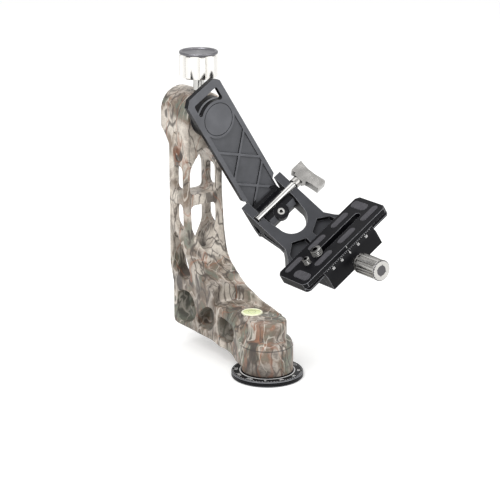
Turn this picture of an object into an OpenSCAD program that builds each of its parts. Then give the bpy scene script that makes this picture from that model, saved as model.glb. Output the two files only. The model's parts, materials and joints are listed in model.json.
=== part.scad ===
// Gimbal tripod head: a cast side arm on a panning drum, a tilting swing arm,
// a folding yoke and a quick release clamp with its sliding plate.
// Millimetres, +Z up. The pan axis is Z and the base stands on z = 0.
// The tilt axis runs along X at tilt_z; the arm stands on the -X side.
// The swing frame has x along the tilt axis, y across the swing arm and
// z up along it, with its origin on the tilt axis.

/* [Base disc] */
// Diameter of the graduated base disc
base_d = 60; // [56:1:80]
// Thickness of the base disc
base_t = 4.8; // [4:0.2:8]
// Bore of the tripod thread, at its minor diameter
thread_d = 7.94; // [5:0.1:8.6]
// Depth of the tripod thread
thread_depth = 12; // [8:0.5:14]
// Outer diameter of the threaded bush
bush_d = 12; // [10.5:0.5:13]

/* [Pan stack] */
// Bore of the pan and tilt bearings
bearing_bore = 15; // [13:0.5:16]
// Outer diameter of the pan and tilt bearings
bearing_od = 28; // [26:0.5:30]
// Width of the pan and tilt bearings
bearing_w = 7; // [5:0.5:9]
// Height of the spacer between the pan bearings
spacer_h = 7.4; // [4:0.2:10]
// Diameter of the pan drum
drum_d = 43; // [41:0.5:48]
// Height of the drum up to its ledge
drum_h = 22.3; // [21:0.5:26]
// Height of the rounded shoulder above the ledge
shoulder_h = 6.4; // [5:0.2:8]
// Diameter of the hub above the shoulder
hub_d = 32; // [31:0.5:36]
// Thickness of the hub roof over the bearings
roof_t = 6.7; // [6:0.1:9]
// Diameter of the pan lock knob
pan_knob_d = 14; // [10:0.5:18]

/* [Arm] */
// Height of the tilt axis above the base
tilt_z = 204.8; // [196:0.4:230]
// Distance of the arm's outer face from the pan axis
reach = 115; // [112:0.5:122]
// Width of the arm at the head
arm_w = 39; // [37:0.5:44]
// Width of the foot strut
foot_w = 32.6; // [31:0.2:36]
// Width of the see-through windows in the column
window_w = 26.8; // [20:0.4:28]
// Thickness of the web that stays inside the side pockets
web_t = 6; // [3:0.5:10]
// Radius of the round recess in the top of the foot
recess_r = 18.6; // [15:0.2:20]
// Width of the foot's floor between the rim and the far edge
rim_y = 14.6; // [12:0.2:15.5]
// Diameter of the bubble level
level_d = 18; // [14:0.5:20]
// Height of the bubble level's capsule
level_h = 4; // [3:0.2:4.6]

/* [Tilt head] */
// Length of the tilt housing along its axis
housing_l = 40.5; // [40:0.5:44]
// Diameter of the brake drum on the tilt spindle
brake_d = 20; // [18:0.5:22]
// Diameter of the tilt lock screw
lock_d = 9.5; // [8:0.5:11]
// Diameter of the tilt lock knob
lock_knob_d = 32.8; // [28:0.4:36]
// Height of the fluted part of the tilt lock knob
lock_knob_h = 19.5; // [16:0.5:24]
// Height of the cap on the tilt lock knob
knob_cap_h = 2.5; // [1.5:0.1:4]
// Diameter of the tilt hub
hub_disc_d = 35; // [32:0.5:37]
// Thickness of the tilt hub
hub_disc_t = 11.8; // [10:0.2:14]

/* [Swing arm] */
// Thickness of the swing arm
swing_t = 5; // [4.6:0.2:7]
// Width of the swing arm
swing_w = 37.7; // [36:0.5:42]
// Height of the swing arm's top edge above the tilt axis
swing_top = 32.3; // [30:0.5:36]
// Distance of the fold axis below the tilt axis
rod_l = 91.3; // [88:0.5:98]
// Distance of the fold axis from the arm-side face of the swing arm
rod_out = 17.2; // [16:0.2:19]
// Diameter of the round cap over the tilt axis
cap_d = 28; // [26:0.5:30]
// Depth of the relief in the swing arm's face
relief = 1.2; // [0.6:0.1:1.6]
// Width of the ribs in the relief
rib_w = 2; // [1.4:0.2:3]
// Angle at which the swing arm hangs in the rest pose
swing_deg = 32.43; // [0:0.01:60]

/* [Yoke] */
// Diameter of the hinge rod
rod_d = 6; // [5:0.5:7]
// Width between the yoke's cheeks
yoke_gap = 32.6; // [31:0.2:35]
// Thickness of each yoke cheek
cheek_t = 7.7; // [6.5:0.1:9]
// Radius of the round end of the yoke's opening
opening_r = 14.4; // [13:0.2:15]
// Reach of the long lobe of the wing nut
lobe_long = 18.8; // [14:0.2:22]
// Reach of the short lobe of the wing nut
lobe_short = 9.6; // [8:0.2:12]

/* [Clamp and plate] */
// Height of the plate's top below the tilt axis
plate_l = 115.4; // [112:0.2:120]
// Distance of the plate's centre line from the pan axis
plate_x = 5.65; // [3:0.05:8]
// Width of the quick release plate
plate_w = 37.5; // [36:0.5:40]
// Length of the quick release plate
plate_len = 100; // [80:1:110]
// Thickness of the plate's upper slab
slab_t = 4.4; // [4:0.1:5]
// Thickness of the whole plate
plate_t = 8.6; // [8.2:0.1:9.4]
// Length of the clamp jaws
jaw_len = 59.2; // [50:0.4:64]
// Thickness of the clamp from the plate's seat down
clamp_t = 13.9; // [12:0.1:16]
// Diameter of the clamp knob
clamp_knob_d = 17.8; // [15:0.2:20]
// Length of the clamp knob
clamp_knob_l = 26.8; // [20:0.4:30]
// Diameter of the large camera screw
screw_big_d = 9.5; // [8:0.1:10]
// Diameter of the small camera screw
screw_small_d = 6.35; // [5:0.05:7]
// Height of both camera screws above the plate
screw_up = 5.5; // [4:0.5:8]

/* [Fits] */
// Radial clearance of a running fit
run_fit = 0.05; // [0.03:0.01:0.1]
// Gap between faces of pieces that move past each other
face_gap = 0.3; // [0.2:0.05:0.4]
// Clearance of the plate in its jaws
slide_fit = 0.1; // [0.06:0.01:0.15]

/* [Hidden] */
$fn = 64;

// One overrun carries every cut past the surface it opens.
over = 1;
// Facets of small round things.
small_fn = 32;
// Corner rounding: the most of a side that one corner may take.
reach_share = 0.48;
// Points that a rounded corner is drawn with.
corner_steps = 4;

// Base and pan stack, from the bottom up.
edge_chamfer = 0.6;
flange_r = 16;
flange_t = 2.5;
spigot_r = 10;
base_screws_n = 3;
base_screw_r = 13;
base_screw_d = 4;
base_head_d = 5;
base_head_t = 2;
base_screw_into = 1.8;
disc_gap = 0.5;
retainer_t = 3;
retainer_r = 18.5;
retainer_rise = 7.8;
retainer_wall = 1.8;
spanner_d = 1.6;
spanner_r = 17.2;
shaft_step = 1.5;
circlip_t = 1;
circlip_lip = 2.2;
circlip_groove = 0.6;
circlip_mouth = 6;
spindle_above = 0.5;
cavity_rise = 2.6;
cavity_step = 2;

flange_top = base_t + flange_t;
drum_bottom = base_t + disc_gap;
retainer_z = flange_top + disc_gap;
retainer_top = retainer_z + retainer_t;
pan_seat = retainer_top + retainer_rise;
pan_lock_z = (retainer_top + pan_seat) / 2;
pan_bearing_2 = pan_seat + bearing_w + spacer_h;
pan_bearing_top = pan_bearing_2 + bearing_w;
cavity_top = pan_bearing_top + cavity_rise;
hub_top = cavity_top + roof_t;
drum_top = drum_bottom + drum_h;
hub_fillet = 2;

// Pan lock, on the side that the photograph hides.
pan_lock_deg = 120;
shoe_gap = 0.3;
pan_lock_d = 6.5;
shoe_l = 7.6;
pan_knob_gap = 2.4;
pan_knob_l = 12;
pan_brake_r = bearing_bore / 2 + shaft_step;

// Tilt stack, along X.
housing_out = 11.5;
boss_drop = 27;
boss_share = [0.86, 0.72, 0.52];
end_cap_t = 3;
end_cap_step = 1;
tilt_shoulder = 1.5;
tilt_end_play = 0.9;
inner_inset = 0.6;
brake_gap = face_gap;
lock_inset = 3.6;
lock_tip_d = 7;
lock_tip_gap = 0.5;
housing_x = -(reach + housing_out);
housing_end = housing_x + housing_l;
tilt_bearing_in = housing_end - inner_inset - bearing_w;
tilt_brake_1 = tilt_bearing_in - brake_gap;
tilt_bearing_out = housing_x + end_cap_t + tilt_end_play + spindle_above + circlip_t + face_gap;
tilt_brake_0 = tilt_bearing_out + bearing_w + brake_gap;
cavity_r = bearing_od / 2 + run_fit;
hub_gap = 0.4;
hub_x0 = housing_end + hub_gap;
hub_x1 = hub_x0 + hub_disc_t;
swing_x1 = hub_x1 + swing_t;
lock_x = tilt_brake_1 - lock_inset;
shoe_t = 3.8;
knob_up = 31.2;
knob_z = tilt_z + knob_up;
lock_flutes = 8;
lock_flute_r = 5.2;
lock_flute_in = 2.5;
groove_r = 0.6;
groove_y = 16.75;
groove_up = 9.98;
groove_z = tilt_z + groove_up;

// Swing arm.
corner_cut = 5;
border = 4;
cap_t = 1.2;
cap_gap = 0.15;
cap_land = 2.2;
hub_screw_r = 11;
hub_screw_d = 3;
hub_head_d = 5.6;
hub_head_t = 1.9;
hub_screw_l = 8;
centre_d = 5;
centre_head_d = 9;
centre_l = 12;
rib_cross_1 = 39.5;
rib_cross_2 = 75;
rib_deg = 45;
rib_l = 120;
relief_end = 90;
slot_out = 24.7;
slot_in = 16.6;
slot_low = 12.6;
slot_half = 13.2;
neck_half = 15.4;
neck_from = 77;
neck_full = 80;
lug_half = 14.8;
lug_below = 13;
lug_boss_r = 7;
rod_sink = 0.84;
lug_tail = 19.2;
rod_x = hub_x1 + rod_out;
set_d = 6.4;
set_l = 6;
set_s = 9.05;
set_w = -1;
set_inset = 0.4;
socket_share = 0.5;
socket_deep_share = 0.6;

// Lug of the swing arm: the lean of its nose.
face_deg = 45;

// Yoke, in distances s along its face from the rod to the platform's ledge.
cheek_top_s = 16.4;
yoke_ledge = 8.12;
yoke_lip = 0.17;
flare_share = 0.765;
flare_mid_share = 0.943;
opening_share = 0.413;
opening_far_share = 0.174;
flare_mid_w = 29.5;
flare_w = 32;
platform_w = 26;
platform_t = 5;
yoke_step = 2;
pocket_d = 7;
pocket_past = 2.42;
side_pocket_d = 2.4;
rod_cheek_in = 2;
wing_gap = face_gap;
wing_neck_l = 6;
wing_neck_d = 9.2;
wing_t = 13.7;
wing_depth = 9.4;
wing_dip_share = 0.825;
wing_deg = 48;
rod_tip = 6;

// Clamp, jaw and plate.
groove_in = 2.9;
foot_in = 0.55;
groove_flat = 0.4;
jaw_lip = 0.3;
jaw_out = 2.55;
jaw_drop = 0.9;
jaw_split = 14.65;
jaw_bevel = 2.8;
pin_d = 4;
pin_w = 18;
pin_l = 21;
pin_in_jaw = 4.5;
clamp_axis = 7.9;
clamp_screw_d = 6;
clamp_screw_clear = 0.25;
clamp_screw_into = 16;
clamp_neck_l = 6.8;
clamp_neck_d = 7;
clamp_flutes = 12;
clamp_flute_r = 1.5;
knob_dish = 1.2;
under_d = 4;
under_head_d = 7;
under_head_t = 2;
under_into = 7;
under_w = 12;
plate_corner = 3.2;
slot_w = 6.7;
slot_from = -17;
slot_to = 31;
big_w = -17;
small_w = -29;
head_t = 2.6;
head_over = 1.6;
head_recess = 0.6;
// Neck of the camera screws, so that they stay caught in the slot: its thickness and how far it shows.
stud_neck_share = 0.8;
stud_lift = 0.3;
pad_sink = 0.8;
pad_proud = 0.35;
pad_w = 6;
pad_l = 18.8;
end_pad_w = 7.8;
end_pad_near = 6.2;
end_pad_far = 7.2;
end_pad_in = 8.4;
pad_left = 12.3;
pad_right = 9.5;
pad_pitch = 28.3;

// Column of the arm: its depth in x, and the share of the outlines' x that it takes.
column_depth = 29.9;
column_share = 0.26;

// Outline tables: shares of the arm's run (x) and of tilt_z (z), chosen by hand.
arm_out_share = [[-0.983, 0.089], [-1, 0.108], [-1, 1], [-0.751, 1], [-0.751, 0.918], [-0.770, 0.825],
    [-0.798, 0.750], [-0.799, 0.669], [-0.788, 0.605], [-0.774, 0.522], [-0.767, 0.493], [-0.740, 0.420],
    [-0.687, 0.368], [-0.583, 0.334], [-0.468, 0.300], [-0.356, 0.282], [-0.245, 0.264], [-0.113, 0.253],
    [-0.064, 0.245], [0, 0.244], [0, 0.050], [-0.170, 0.047], [-0.226, 0.058], [-0.296, 0.072],
    [-0.400, 0.071], [-0.487, 0.083], [-0.783, 0.087]];
// Height shares where the column starts and ends its taper into the foot.
taper_share = [0.264, 0.356];
// Windows along X: [share of half width, share of tilt_z].
upper_window_share = [[-1, 0.664], [1, 0.664], [1, 0.780], [0.62, 0.828], [0.2, 0.861], [-0.2, 0.861],
    [-0.62, 0.828], [-1, 0.780]];
lower_window_share = [[-1, 0.620], [-1, 0.518], [-0.28, 0.425], [0.28, 0.425], [1, 0.518], [1, 0.620]];
// Windows through the column along Y, and the blind side pockets.
side_upper_share = [[-0.943, 0.684], [-0.943, 0.786], [-0.826, 0.786], [-0.822, 0.684]];
side_lower_share = [[-0.943, 0.540], [-0.943, 0.625], [-0.822, 0.625], [-0.818, 0.513], [-0.87, 0.513]];
side_oval_share = [[-0.96, 0.90], [-0.93, 0.93], [-0.85, 0.93], [-0.812, 0.90], [-0.812, 0.83],
    [-0.86, 0.80], [-0.91, 0.80], [-0.955, 0.84]];
pocket_1_share = [[-0.968, 0.465], [-0.940, 0.500], [-0.905, 0.495], [-0.830, 0.430], [-0.765, 0.385],
    [-0.738, 0.335], [-0.765, 0.308], [-0.850, 0.300], [-0.925, 0.320], [-0.965, 0.380]];
back_window_share = [[-0.50, 0.300], [-0.95, 0.322], [-0.95, 0.380], [-0.50, 0.402], [0.50, 0.402],
    [0.95, 0.380], [0.95, 0.322], [0.50, 0.300]];
pocket_2_share = [[-0.950, 0.215], [-0.922, 0.240], [-0.870, 0.248], [-0.775, 0.248], [-0.722, 0.210],
    [-0.700, 0.165], [-0.745, 0.130], [-0.835, 0.107], [-0.905, 0.108], [-0.945, 0.135]];
hole_2_share = [[-0.895, 0.212], [-0.885, 0.160], [-0.945, 0.150], [-0.950, 0.172]];
pocket_3_share = [[-0.690, 0.150], [-0.650, 0.190], [-0.560, 0.222], [-0.490, 0.222], [-0.465, 0.190],
    [-0.480, 0.145], [-0.530, 0.118], [-0.610, 0.118], [-0.680, 0.122]];
pocket_4_share = [[-0.425, 0.202], [-0.36, 0.204], [-0.235, 0.190], [-0.205, 0.165], [-0.240, 0.112],
    [-0.390, 0.097], [-0.435, 0.135]];
hole_4_share = [-0.415, 0.116];
hole_4_d = 6.5;
back_window_w = 13;
back_window_deep = 18;
pocket_round = 5;
oval_deep = 3.4;
column_in_share = 0.36;
recess_share = [-0.348, 0];
recess_y = -4;
level_share = -0.188;
level_proud = 0.3;
level_base_t = 0.8;
level_lip = 1;
ridge_share = [-0.470, 0.246];
ridge_z = 41.5;
blend_share = 0.5;
ridge_turn = -77;
ridge_lean = 55;
ridge_box = [52, 30, 14];

// Yoke: shares of the platform's thickness, along x from the ledge and along z from
// the clamp's lower edge; then shares of flare_end_s along the face and out of it,
// for its rear and its flank pockets.
yoke_under_share = [[-2.916, 0.8], [-2.616, 2.28], [-3.516, 3.64]];
yoke_rear_share = [[0.229, -0.395], [0.183, -0.484], [0.040, -0.390]];
flank_a_share = [[-0.037, -0.221], [0.156, -0.415], [0.218, -0.317], [0.166, -0.216]];
flank_b_share = [[0.212, -0.175], [0.295, -0.258], [0.590, -0.160],
    [0.710, -0.139], [0.825, -0.160], [0.754, -0.089]];
// Bridge pockets: shares of flare_end_s along the face and of platform_w across it,
// and the width shares of their far end, just past the clamp's back.
bridge_near_share = [[0.765, 0.60], [0.885, 0.15]];
bridge_end_share = [0.15, 1.02];
bridge_side_share = [[1, 1.02], [0.90, 0.97]];
// Wing nut: shares of the lobes' reach and of the wing's height.
wing_short_share = [[0.56, 0.10], [0.84, 0.02], [1, 0.07], [1, 0.93], [0.62, 0.88]];
wing_long_share = [[0.42, 0.87], [0.89, 1], [1, 0.94], [1, 0.28], [0.58, 0.20], [0.34, 0.12]];

arm_x = -reach;
face_run = clamp_back() - face_gap - yoke_ledge - rod_x;
face_drop = plate_l + plate_t - yoke_lip - rod_l;
flare_end_s = norm([face_run, face_drop]);
yoke_deg = atan2(face_drop, face_run);
flare_s = flare_end_s * flare_share;
flare_mid_s = flare_end_s * flare_mid_share;
opening_s = flare_end_s * opening_share;
opening_far = flare_end_s * opening_far_share;
pocket_end_s = (clamp_back() - rod_x) * cos(yoke_deg) + (clamp_bottom() - rod_l) * sin(yoke_deg) + pocket_past;
column_in = run_x(-column_in_share);
foot_top = hub_top;
level_x = run_x(level_share);
hub_bore_r = bearing_bore / 2 + run_fit;

function unit(v) = v / norm(v);

// One corner of an outline, drawn as a soft curve that starts r before it.
function corner(a, b, c, r) =
    let (p = b + unit(a - b) * min(r, norm(a - b) * reach_share),
         q = b + unit(c - b) * min(r, norm(c - b) * reach_share))
    [for (k = [0 : corner_steps]) let (t = k / corner_steps)
        p * pow(1 - t, 2) + b * 2 * t * (1 - t) + q * pow(t, 2)];

// An outline with every corner softened by r.
function soften(pts, r) =
    let (n = len(pts))
    [for (i = [0 : n - 1]) each corner(pts[(i + n - 1) % n], pts[i], pts[(i + 1) % n], r)];

// Place in x for a share of the run: the column keeps its depth below the tilt
// housing, and the foot takes up the rest of the reach.
function run_x(share) = share < column_share - 1
    ? -reach + (1 + share) * column_depth / column_share
    : share * (reach - column_depth) / (1 - column_share);

// Points given as shares of the run and of the tilt height.
function arm_pts(shares) = [for (s = shares) [run_x(s[0]), s[1] * tilt_z]];
// Points given as shares of the window's half width and of the tilt height.
function window_pts(shares) = [for (s = shares) [s[0] * window_w / 2, s[1] * tilt_z]];

// Solid between y0 and y1 with an outline in x and z.
module slab_y(pts, y0, y1) {
    translate([0, y1, 0]) rotate([90, 0, 0]) linear_extrude(height = y1 - y0) polygon(pts);
}

// Solid between x0 and x1 with an outline in y and z.
module slab_x(pts, x0, x1) {
    translate([x0, 0, 0]) rotate([90, 0, 90]) linear_extrude(height = x1 - x0) polygon(pts);
}

// Round bar along X.
module bar_x(x0, x1, r) {
    translate([x0, 0, 0]) rotate([0, 90, 0]) cylinder(h = x1 - x0, r = r);
}

// Round bar along Y.
module bar_y(y0, y1, r) {
    translate([0, y0, 0]) rotate([-90, 0, 0]) cylinder(h = y1 - y0, r = r);
}

// Ring or tube along Z.
module tube(h, r_out, r_in) {
    difference() {
        cylinder(h = h, r = r_out);
        translate([0, 0, -over]) cylinder(h = h + 2 * over, r = r_in);
    }
}

// Disc along Z with a chamfer on both rims.
module chamfered_disc(h, r, c) {
    rotate_extrude() polygon([[0, 0], [r - c, 0], [r, c], [r, h - c], [r - c, h], [0, h]]);
}

// Block centred on y, from x0 to x1 and z0 to z1.
module block(x0, x1, w, z0, z1) {
    translate([x0, -w / 2, z0]) cube([x1 - x0, w, z1 - z0]);
}

// Socket head screw along +Z: the head's top is at z = 0 and the shank goes down.
module socket_screw(d, l, head_d, head_t) {
    difference() {
        union() {
            translate([0, 0, -head_t]) cylinder(h = head_t, r = head_d / 2, $fn = small_fn);
            translate([0, 0, -l]) cylinder(h = l - head_t / 2, r = d / 2, $fn = small_fn);
        }
        translate([0, 0, -head_t * socket_deep_share])
            cylinder(h = head_t, r = head_d / 2 * socket_share, $fn = 6);
    }
}

// Places children in the swing frame.
module in_swing() {
    translate([0, 0, tilt_z]) rotate([swing_deg, 0, 0]) children();
}

// Places children on the nose of the swing arm's lug: x runs along the nose
// away from the swing arm, y across it and z out of it, from the rod's axis.
module on_nose() {
    translate([rod_x, 0, -rod_l]) rotate([0, face_deg, 0]) children();
}

// The same for the yoke's face.
module on_face() {
    translate([rod_x, 0, -rod_l]) rotate([0, yoke_deg, 0]) children();
}

// Points in x and z from distances along the yoke's face and out of it, from the rod's axis.
function face_pts(pts) = [for (q = pts)
    [q[0] * cos(yoke_deg) + q[1] * sin(yoke_deg), q[1] * cos(yoke_deg) - q[0] * sin(yoke_deg)]];

// Graduated disc that the tripod's plate meets.
module base_disc() {
    color("#1b1c1e") difference() {
        chamfered_disc(base_t, base_d / 2, edge_chamfer);
        translate([0, 0, -over]) cylinder(h = base_t + 2 * over, r = spigot_r + run_fit);
        for (i = [0 : base_screws_n - 1]) rotate(i * 360 / base_screws_n) translate([base_screw_r, 0, 0]) {
            translate([0, 0, -over])
                cylinder(h = base_t + 2 * over, r = base_screw_d / 2 + run_fit, $fn = small_fn);
            translate([0, 0, -over])
                cylinder(h = base_head_t + over, r = base_head_d / 2 + run_fit, $fn = small_fn);
        }
    }
}

// Fixed spindle with its flange, the brake band and the bearing seat.
module pan_spindle() {
    shaft_top = pan_bearing_top + face_gap + circlip_t + spindle_above;
    color("#9a9c9e") difference() {
        union() {
            cylinder(h = base_t + over, r = spigot_r);
            translate([0, 0, base_t]) cylinder(h = flange_t, r = flange_r);
            translate([0, 0, base_t]) cylinder(h = pan_seat - face_gap - base_t, r = pan_brake_r);
            translate([0, 0, base_t]) cylinder(h = shaft_top - base_t, r = bearing_bore / 2);
        }
        translate([0, 0, -over]) cylinder(h = thread_depth + over, r = bush_d / 2);
        translate([0, 0, pan_bearing_top + face_gap])
            tube(circlip_t, bearing_bore / 2 + over, bearing_bore / 2 - circlip_groove);
        for (i = [0 : base_screws_n - 1]) rotate(i * 360 / base_screws_n)
            translate([base_screw_r, 0, base_t - over])
                cylinder(h = over + base_screw_into, r = base_screw_d / 2, $fn = small_fn);
    }
}

// Threaded steel bush that the tripod's stud screws into.
module thread_bush() {
    color("#c8c9c6") tube(thread_depth, bush_d / 2, thread_d / 2);
}

// Screws that hold the disc to the spindle, from below.
module base_screws() {
    color("#3a3b3d") for (i = [0 : base_screws_n - 1]) rotate(i * 360 / base_screws_n)
        translate([base_screw_r, 0, 0]) rotate([180, 0, 0])
            translate([0, 0, -edge_chamfer / 2])
                socket_screw(base_screw_d, base_t + base_screw_into - edge_chamfer / 2, base_head_d,
                             base_head_t - edge_chamfer / 2);
}

// Threaded ring and sleeve that close the drum below the lower bearing.
module pan_retainer() {
    color("#8b8d90") difference() {
        union() {
            translate([0, 0, retainer_z]) tube(retainer_t, retainer_r, pan_brake_r + disc_gap);
            translate([0, 0, retainer_z])
                tube(pan_seat - retainer_z, bearing_od / 2, bearing_od / 2 - retainer_wall);
        }
        for (a = [0, 180]) rotate(a) translate([spanner_r, 0, retainer_z - over])
            cylinder(h = over + retainer_t / 2, r = spanner_d / 2, $fn = small_fn);
        rotate(pan_lock_deg) translate([0, 0, pan_lock_z])
            bar_x(pan_brake_r, retainer_r + over, pan_lock_d / 2 + clamp_screw_clear);
    }
}

// The two pan bearings.
module pan_bearings() {
    color("#c3c5c8") for (z = [pan_seat, pan_bearing_2]) translate([0, 0, z])
        tube(bearing_w, bearing_od / 2, hub_bore_r);
}

// Spacer between the bearings' inner rings.
module pan_spacer() {
    color("#a7a9ab") translate([0, 0, pan_seat + bearing_w + face_gap])
        tube(spacer_h - 2 * face_gap, bearing_bore / 2 + circlip_lip, bearing_bore / 2);
}

// Open ring that holds the stack on its spindle.
module circlip() {
    difference() {
        tube(circlip_t, bearing_bore / 2 + circlip_lip, bearing_bore / 2 - circlip_groove);
        translate([0, 0, circlip_t / 2]) block(0, bearing_bore, circlip_mouth, -circlip_t, circlip_t);
    }
}

module pan_circlip() {
    color("#55585b") translate([0, 0, pan_bearing_top + face_gap]) circlip();
}

// Column and foot strut of the casting, before any cut.
module arm_blank() {
    w0 = foot_w / 2;
    w1 = arm_w / 2;
    z0 = tilt_z * taper_share[0];
    z1 = tilt_z * taper_share[1];
    intersection() {
        slab_y(soften(arm_pts(arm_out_share), pocket_round), -arm_w, arm_w);
        slab_x([[-w0, 0], [w0, 0], [w0, z0], [w1, z1], [w1, tilt_z], [-w1, tilt_z], [-w1, z1], [-w0, z0]],
               arm_x - over, bearing_od);
    }
}

// Drum, rounded shoulder and hub around the pan axis.
module arm_drum() {
    r0 = drum_d / 2;
    r1 = hub_d / 2;
    translate([0, 0, drum_bottom]) cylinder(h = drum_h, r = r0);
    rotate_extrude() polygon(concat([[0, drum_top - over], [r0 - edge_chamfer, drum_top - over]],
        [for (k = [0 : 2 * corner_steps]) let (a = k * 90 / (2 * corner_steps))
            [r1 + (r0 - edge_chamfer - r1) * cos(a), drum_top + shoulder_h * sin(a)]],
        [[0, drum_top + shoulder_h]]));
    rotate_extrude() polygon(concat([[0, drum_top], [r1, drum_top]],
        [for (k = [0 : corner_steps]) let (a = k * 90 / corner_steps)
            [r1 - hub_fillet + hub_fillet * cos(a), hub_top - hub_fillet + hub_fillet * sin(a)]],
        [[0, hub_top]]));
}

// Flanks of the strut that spread to meet the drum.
module foot_blend() {
    r = drum_d / 2;
    w = foot_w / 2;
    x = run_x(ridge_share[0]);
    intersection() {
        translate([0, 0, drum_bottom]) linear_extrude(height = foot_top - drum_bottom)
            polygon([[x, w], [x * blend_share, w], [-r / 3, r], [0, r], [0, -r], [-r / 3, -r],
                     [x * blend_share, -w], [x, -w]]);
        slab_y([[x, 0], [x, tilt_z * ridge_share[1]], [x * blend_share, ridge_z], [-r / 2, drum_top + over],
                [0, drum_top + over], [0, 0]], -arm_w, arm_w);
        slab_y(arm_pts(arm_out_share), -arm_w, arm_w);
    }
}

// Pocket from both flanks that leaves the web in the middle.
module flank_pocket(shares) {
    pts = soften(arm_pts(shares), pocket_round);
    slab_y(pts, web_t / 2, arm_w);
    slab_y(pts, -arm_w, -web_t / 2);
}

// Cast side arm: drum, foot strut, column with its windows, and tilt housing.
module arm() {
    rx = run_x(recess_share[0]);
    color("#8b7f6c") difference() {
        union() {
            difference() {
                arm_blank();
                translate([rx, recess_y, foot_top]) cylinder(h = tilt_z, r = recess_r);
                translate([rx, rim_y - arm_w, foot_top]) cube([-rx + drum_d, arm_w, tilt_z]);
                intersection() {
                    translate([run_x(ridge_share[0]), -foot_w / 2, tilt_z * ridge_share[1]])
                        rotate([0, ridge_lean, ridge_turn])
                            translate([-ridge_box[0], -ridge_box[0], 0])
                                cube([2 * ridge_box[0], 2 * ridge_box[0], ridge_box[2]]);
                    translate([run_x(ridge_share[0]) - over, -arm_w, 0])
                        cube([ridge_box[0] + ridge_box[2], arm_w, foot_top + over]);
                }
            }
            arm_drum();
            translate([0, 0, tilt_z]) bar_x(housing_x, housing_end, arm_w / 2);
            slab_y([[arm_x + over, tilt_z], [arm_x + over, tilt_z - boss_drop], [arm_x, tilt_z - boss_drop],
                    [arm_x - housing_out / 4, tilt_z - boss_drop * boss_share[0]],
                    [arm_x - housing_out / 2, tilt_z - boss_drop * boss_share[1]],
                    [housing_x, tilt_z - boss_drop * boss_share[2]], [housing_x, tilt_z]],
                   -arm_w / 2, arm_w / 2);
            foot_blend();
        }
        // Pan cavity: retainer, bearings and the room for the circlip.
        translate([0, 0, drum_bottom - over])
            cylinder(h = retainer_top - drum_bottom + over, r = retainer_r + run_fit);
        translate([0, 0, drum_bottom]) cylinder(h = pan_bearing_top - drum_bottom, r = cavity_r);
        translate([0, 0, drum_bottom]) cylinder(h = cavity_top - drum_bottom, r = cavity_r - cavity_step);
        rotate(pan_lock_deg) translate([0, 0, pan_lock_z])
            bar_x(bearing_bore / 2, drum_d, pan_lock_d / 2 + run_fit);
        rotate(pan_lock_deg) translate([0, 0, pan_lock_z])
            bar_x(drum_d / 2 + shoe_gap, drum_d, (pan_knob_d + pan_knob_gap) / 2);
        // Bubble level.
        translate([level_x, 0, foot_top - level_h - level_base_t])
            cylinder(h = tilt_z, r = level_d / 2 + run_fit);
        // Tilt cavity along X, with the bearing shoulders.
        translate([0, 0, tilt_z]) {
            bar_x(housing_x - over, housing_x + end_cap_t, cavity_r + end_cap_step);
            bar_x(housing_x, tilt_bearing_out + bearing_w, cavity_r);
            bar_x(housing_x, housing_end, cavity_r - tilt_shoulder);
            bar_x(tilt_bearing_in, housing_end + over, cavity_r);
        }
        translate([lock_x, 0, tilt_z]) cylinder(h = arm_w, r = lock_tip_d / 2 + run_fit);
        translate([0, -groove_y, groove_z]) bar_x(arm_x - 2 * over, lock_x + lock_d / 2 + over, groove_r);
        // Windows and pockets.
        slab_x(soften(window_pts(upper_window_share), pocket_round), arm_x - over, column_in);
        slab_x(soften(window_pts(lower_window_share), pocket_round), arm_x - over, column_in);
        slab_y(soften(arm_pts(side_upper_share), pocket_round), -arm_w, arm_w);
        slab_y(soften(arm_pts(side_lower_share), pocket_round), -arm_w, arm_w);
        for (s = [-1, 1]) slab_y(soften(arm_pts(side_oval_share), pocket_round),
                                 s * arm_w / 2 - oval_deep, s * arm_w / 2 + oval_deep);
        flank_pocket(pocket_1_share);
        flank_pocket(pocket_2_share);
        flank_pocket(pocket_3_share);
        flank_pocket(pocket_4_share);
        slab_x(soften([for (s = back_window_share) [s[0] * back_window_w / 2, s[1] * tilt_z]], pocket_round),
               arm_x - over, arm_x + back_window_deep);
        slab_y(soften(arm_pts(hole_2_share), pocket_round), -web_t / 2 - over, web_t / 2 + over);
        translate([run_x(hole_4_share[0]), 0, tilt_z * hole_4_share[1]])
            bar_y(-web_t / 2 - over, web_t / 2 + over, hole_4_d / 2);
    }
}

// White disc under the bubble level.
module level_base() {
    color("#e8e9dc") translate([level_x, 0, foot_top - level_h - level_base_t])
        cylinder(h = level_base_t, r = level_d / 2);
}

// Round bubble capsule, with a shallow domed face.
module level_vial() {
    color("#d9eb9c") translate([level_x, 0, foot_top - level_h])
        rotate_extrude() polygon([[0, 0], [level_d / 2, 0], [level_d / 2, level_h],
            [level_d / 2 - level_lip, level_h + level_proud], [0, level_h + level_proud]]);
}

// Brake shoe of the pan lock.
module pan_shoe() {
    x0 = pan_brake_r + shoe_gap;
    color("#c9a45a") rotate(pan_lock_deg) translate([0, 0, pan_lock_z])
        bar_x(x0, x0 + shoe_l, pan_lock_d / 2);
}

// Screw that presses the pan brake shoe.
module pan_lock_screw() {
    x0 = pan_brake_r + shoe_gap + shoe_l;
    x1 = drum_d / 2 + pan_knob_gap + pan_knob_l / 2;
    color("#c4c6c8") rotate(pan_lock_deg) translate([0, 0, pan_lock_z]) bar_x(x0, x1, pan_lock_d / 2);
}

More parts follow.
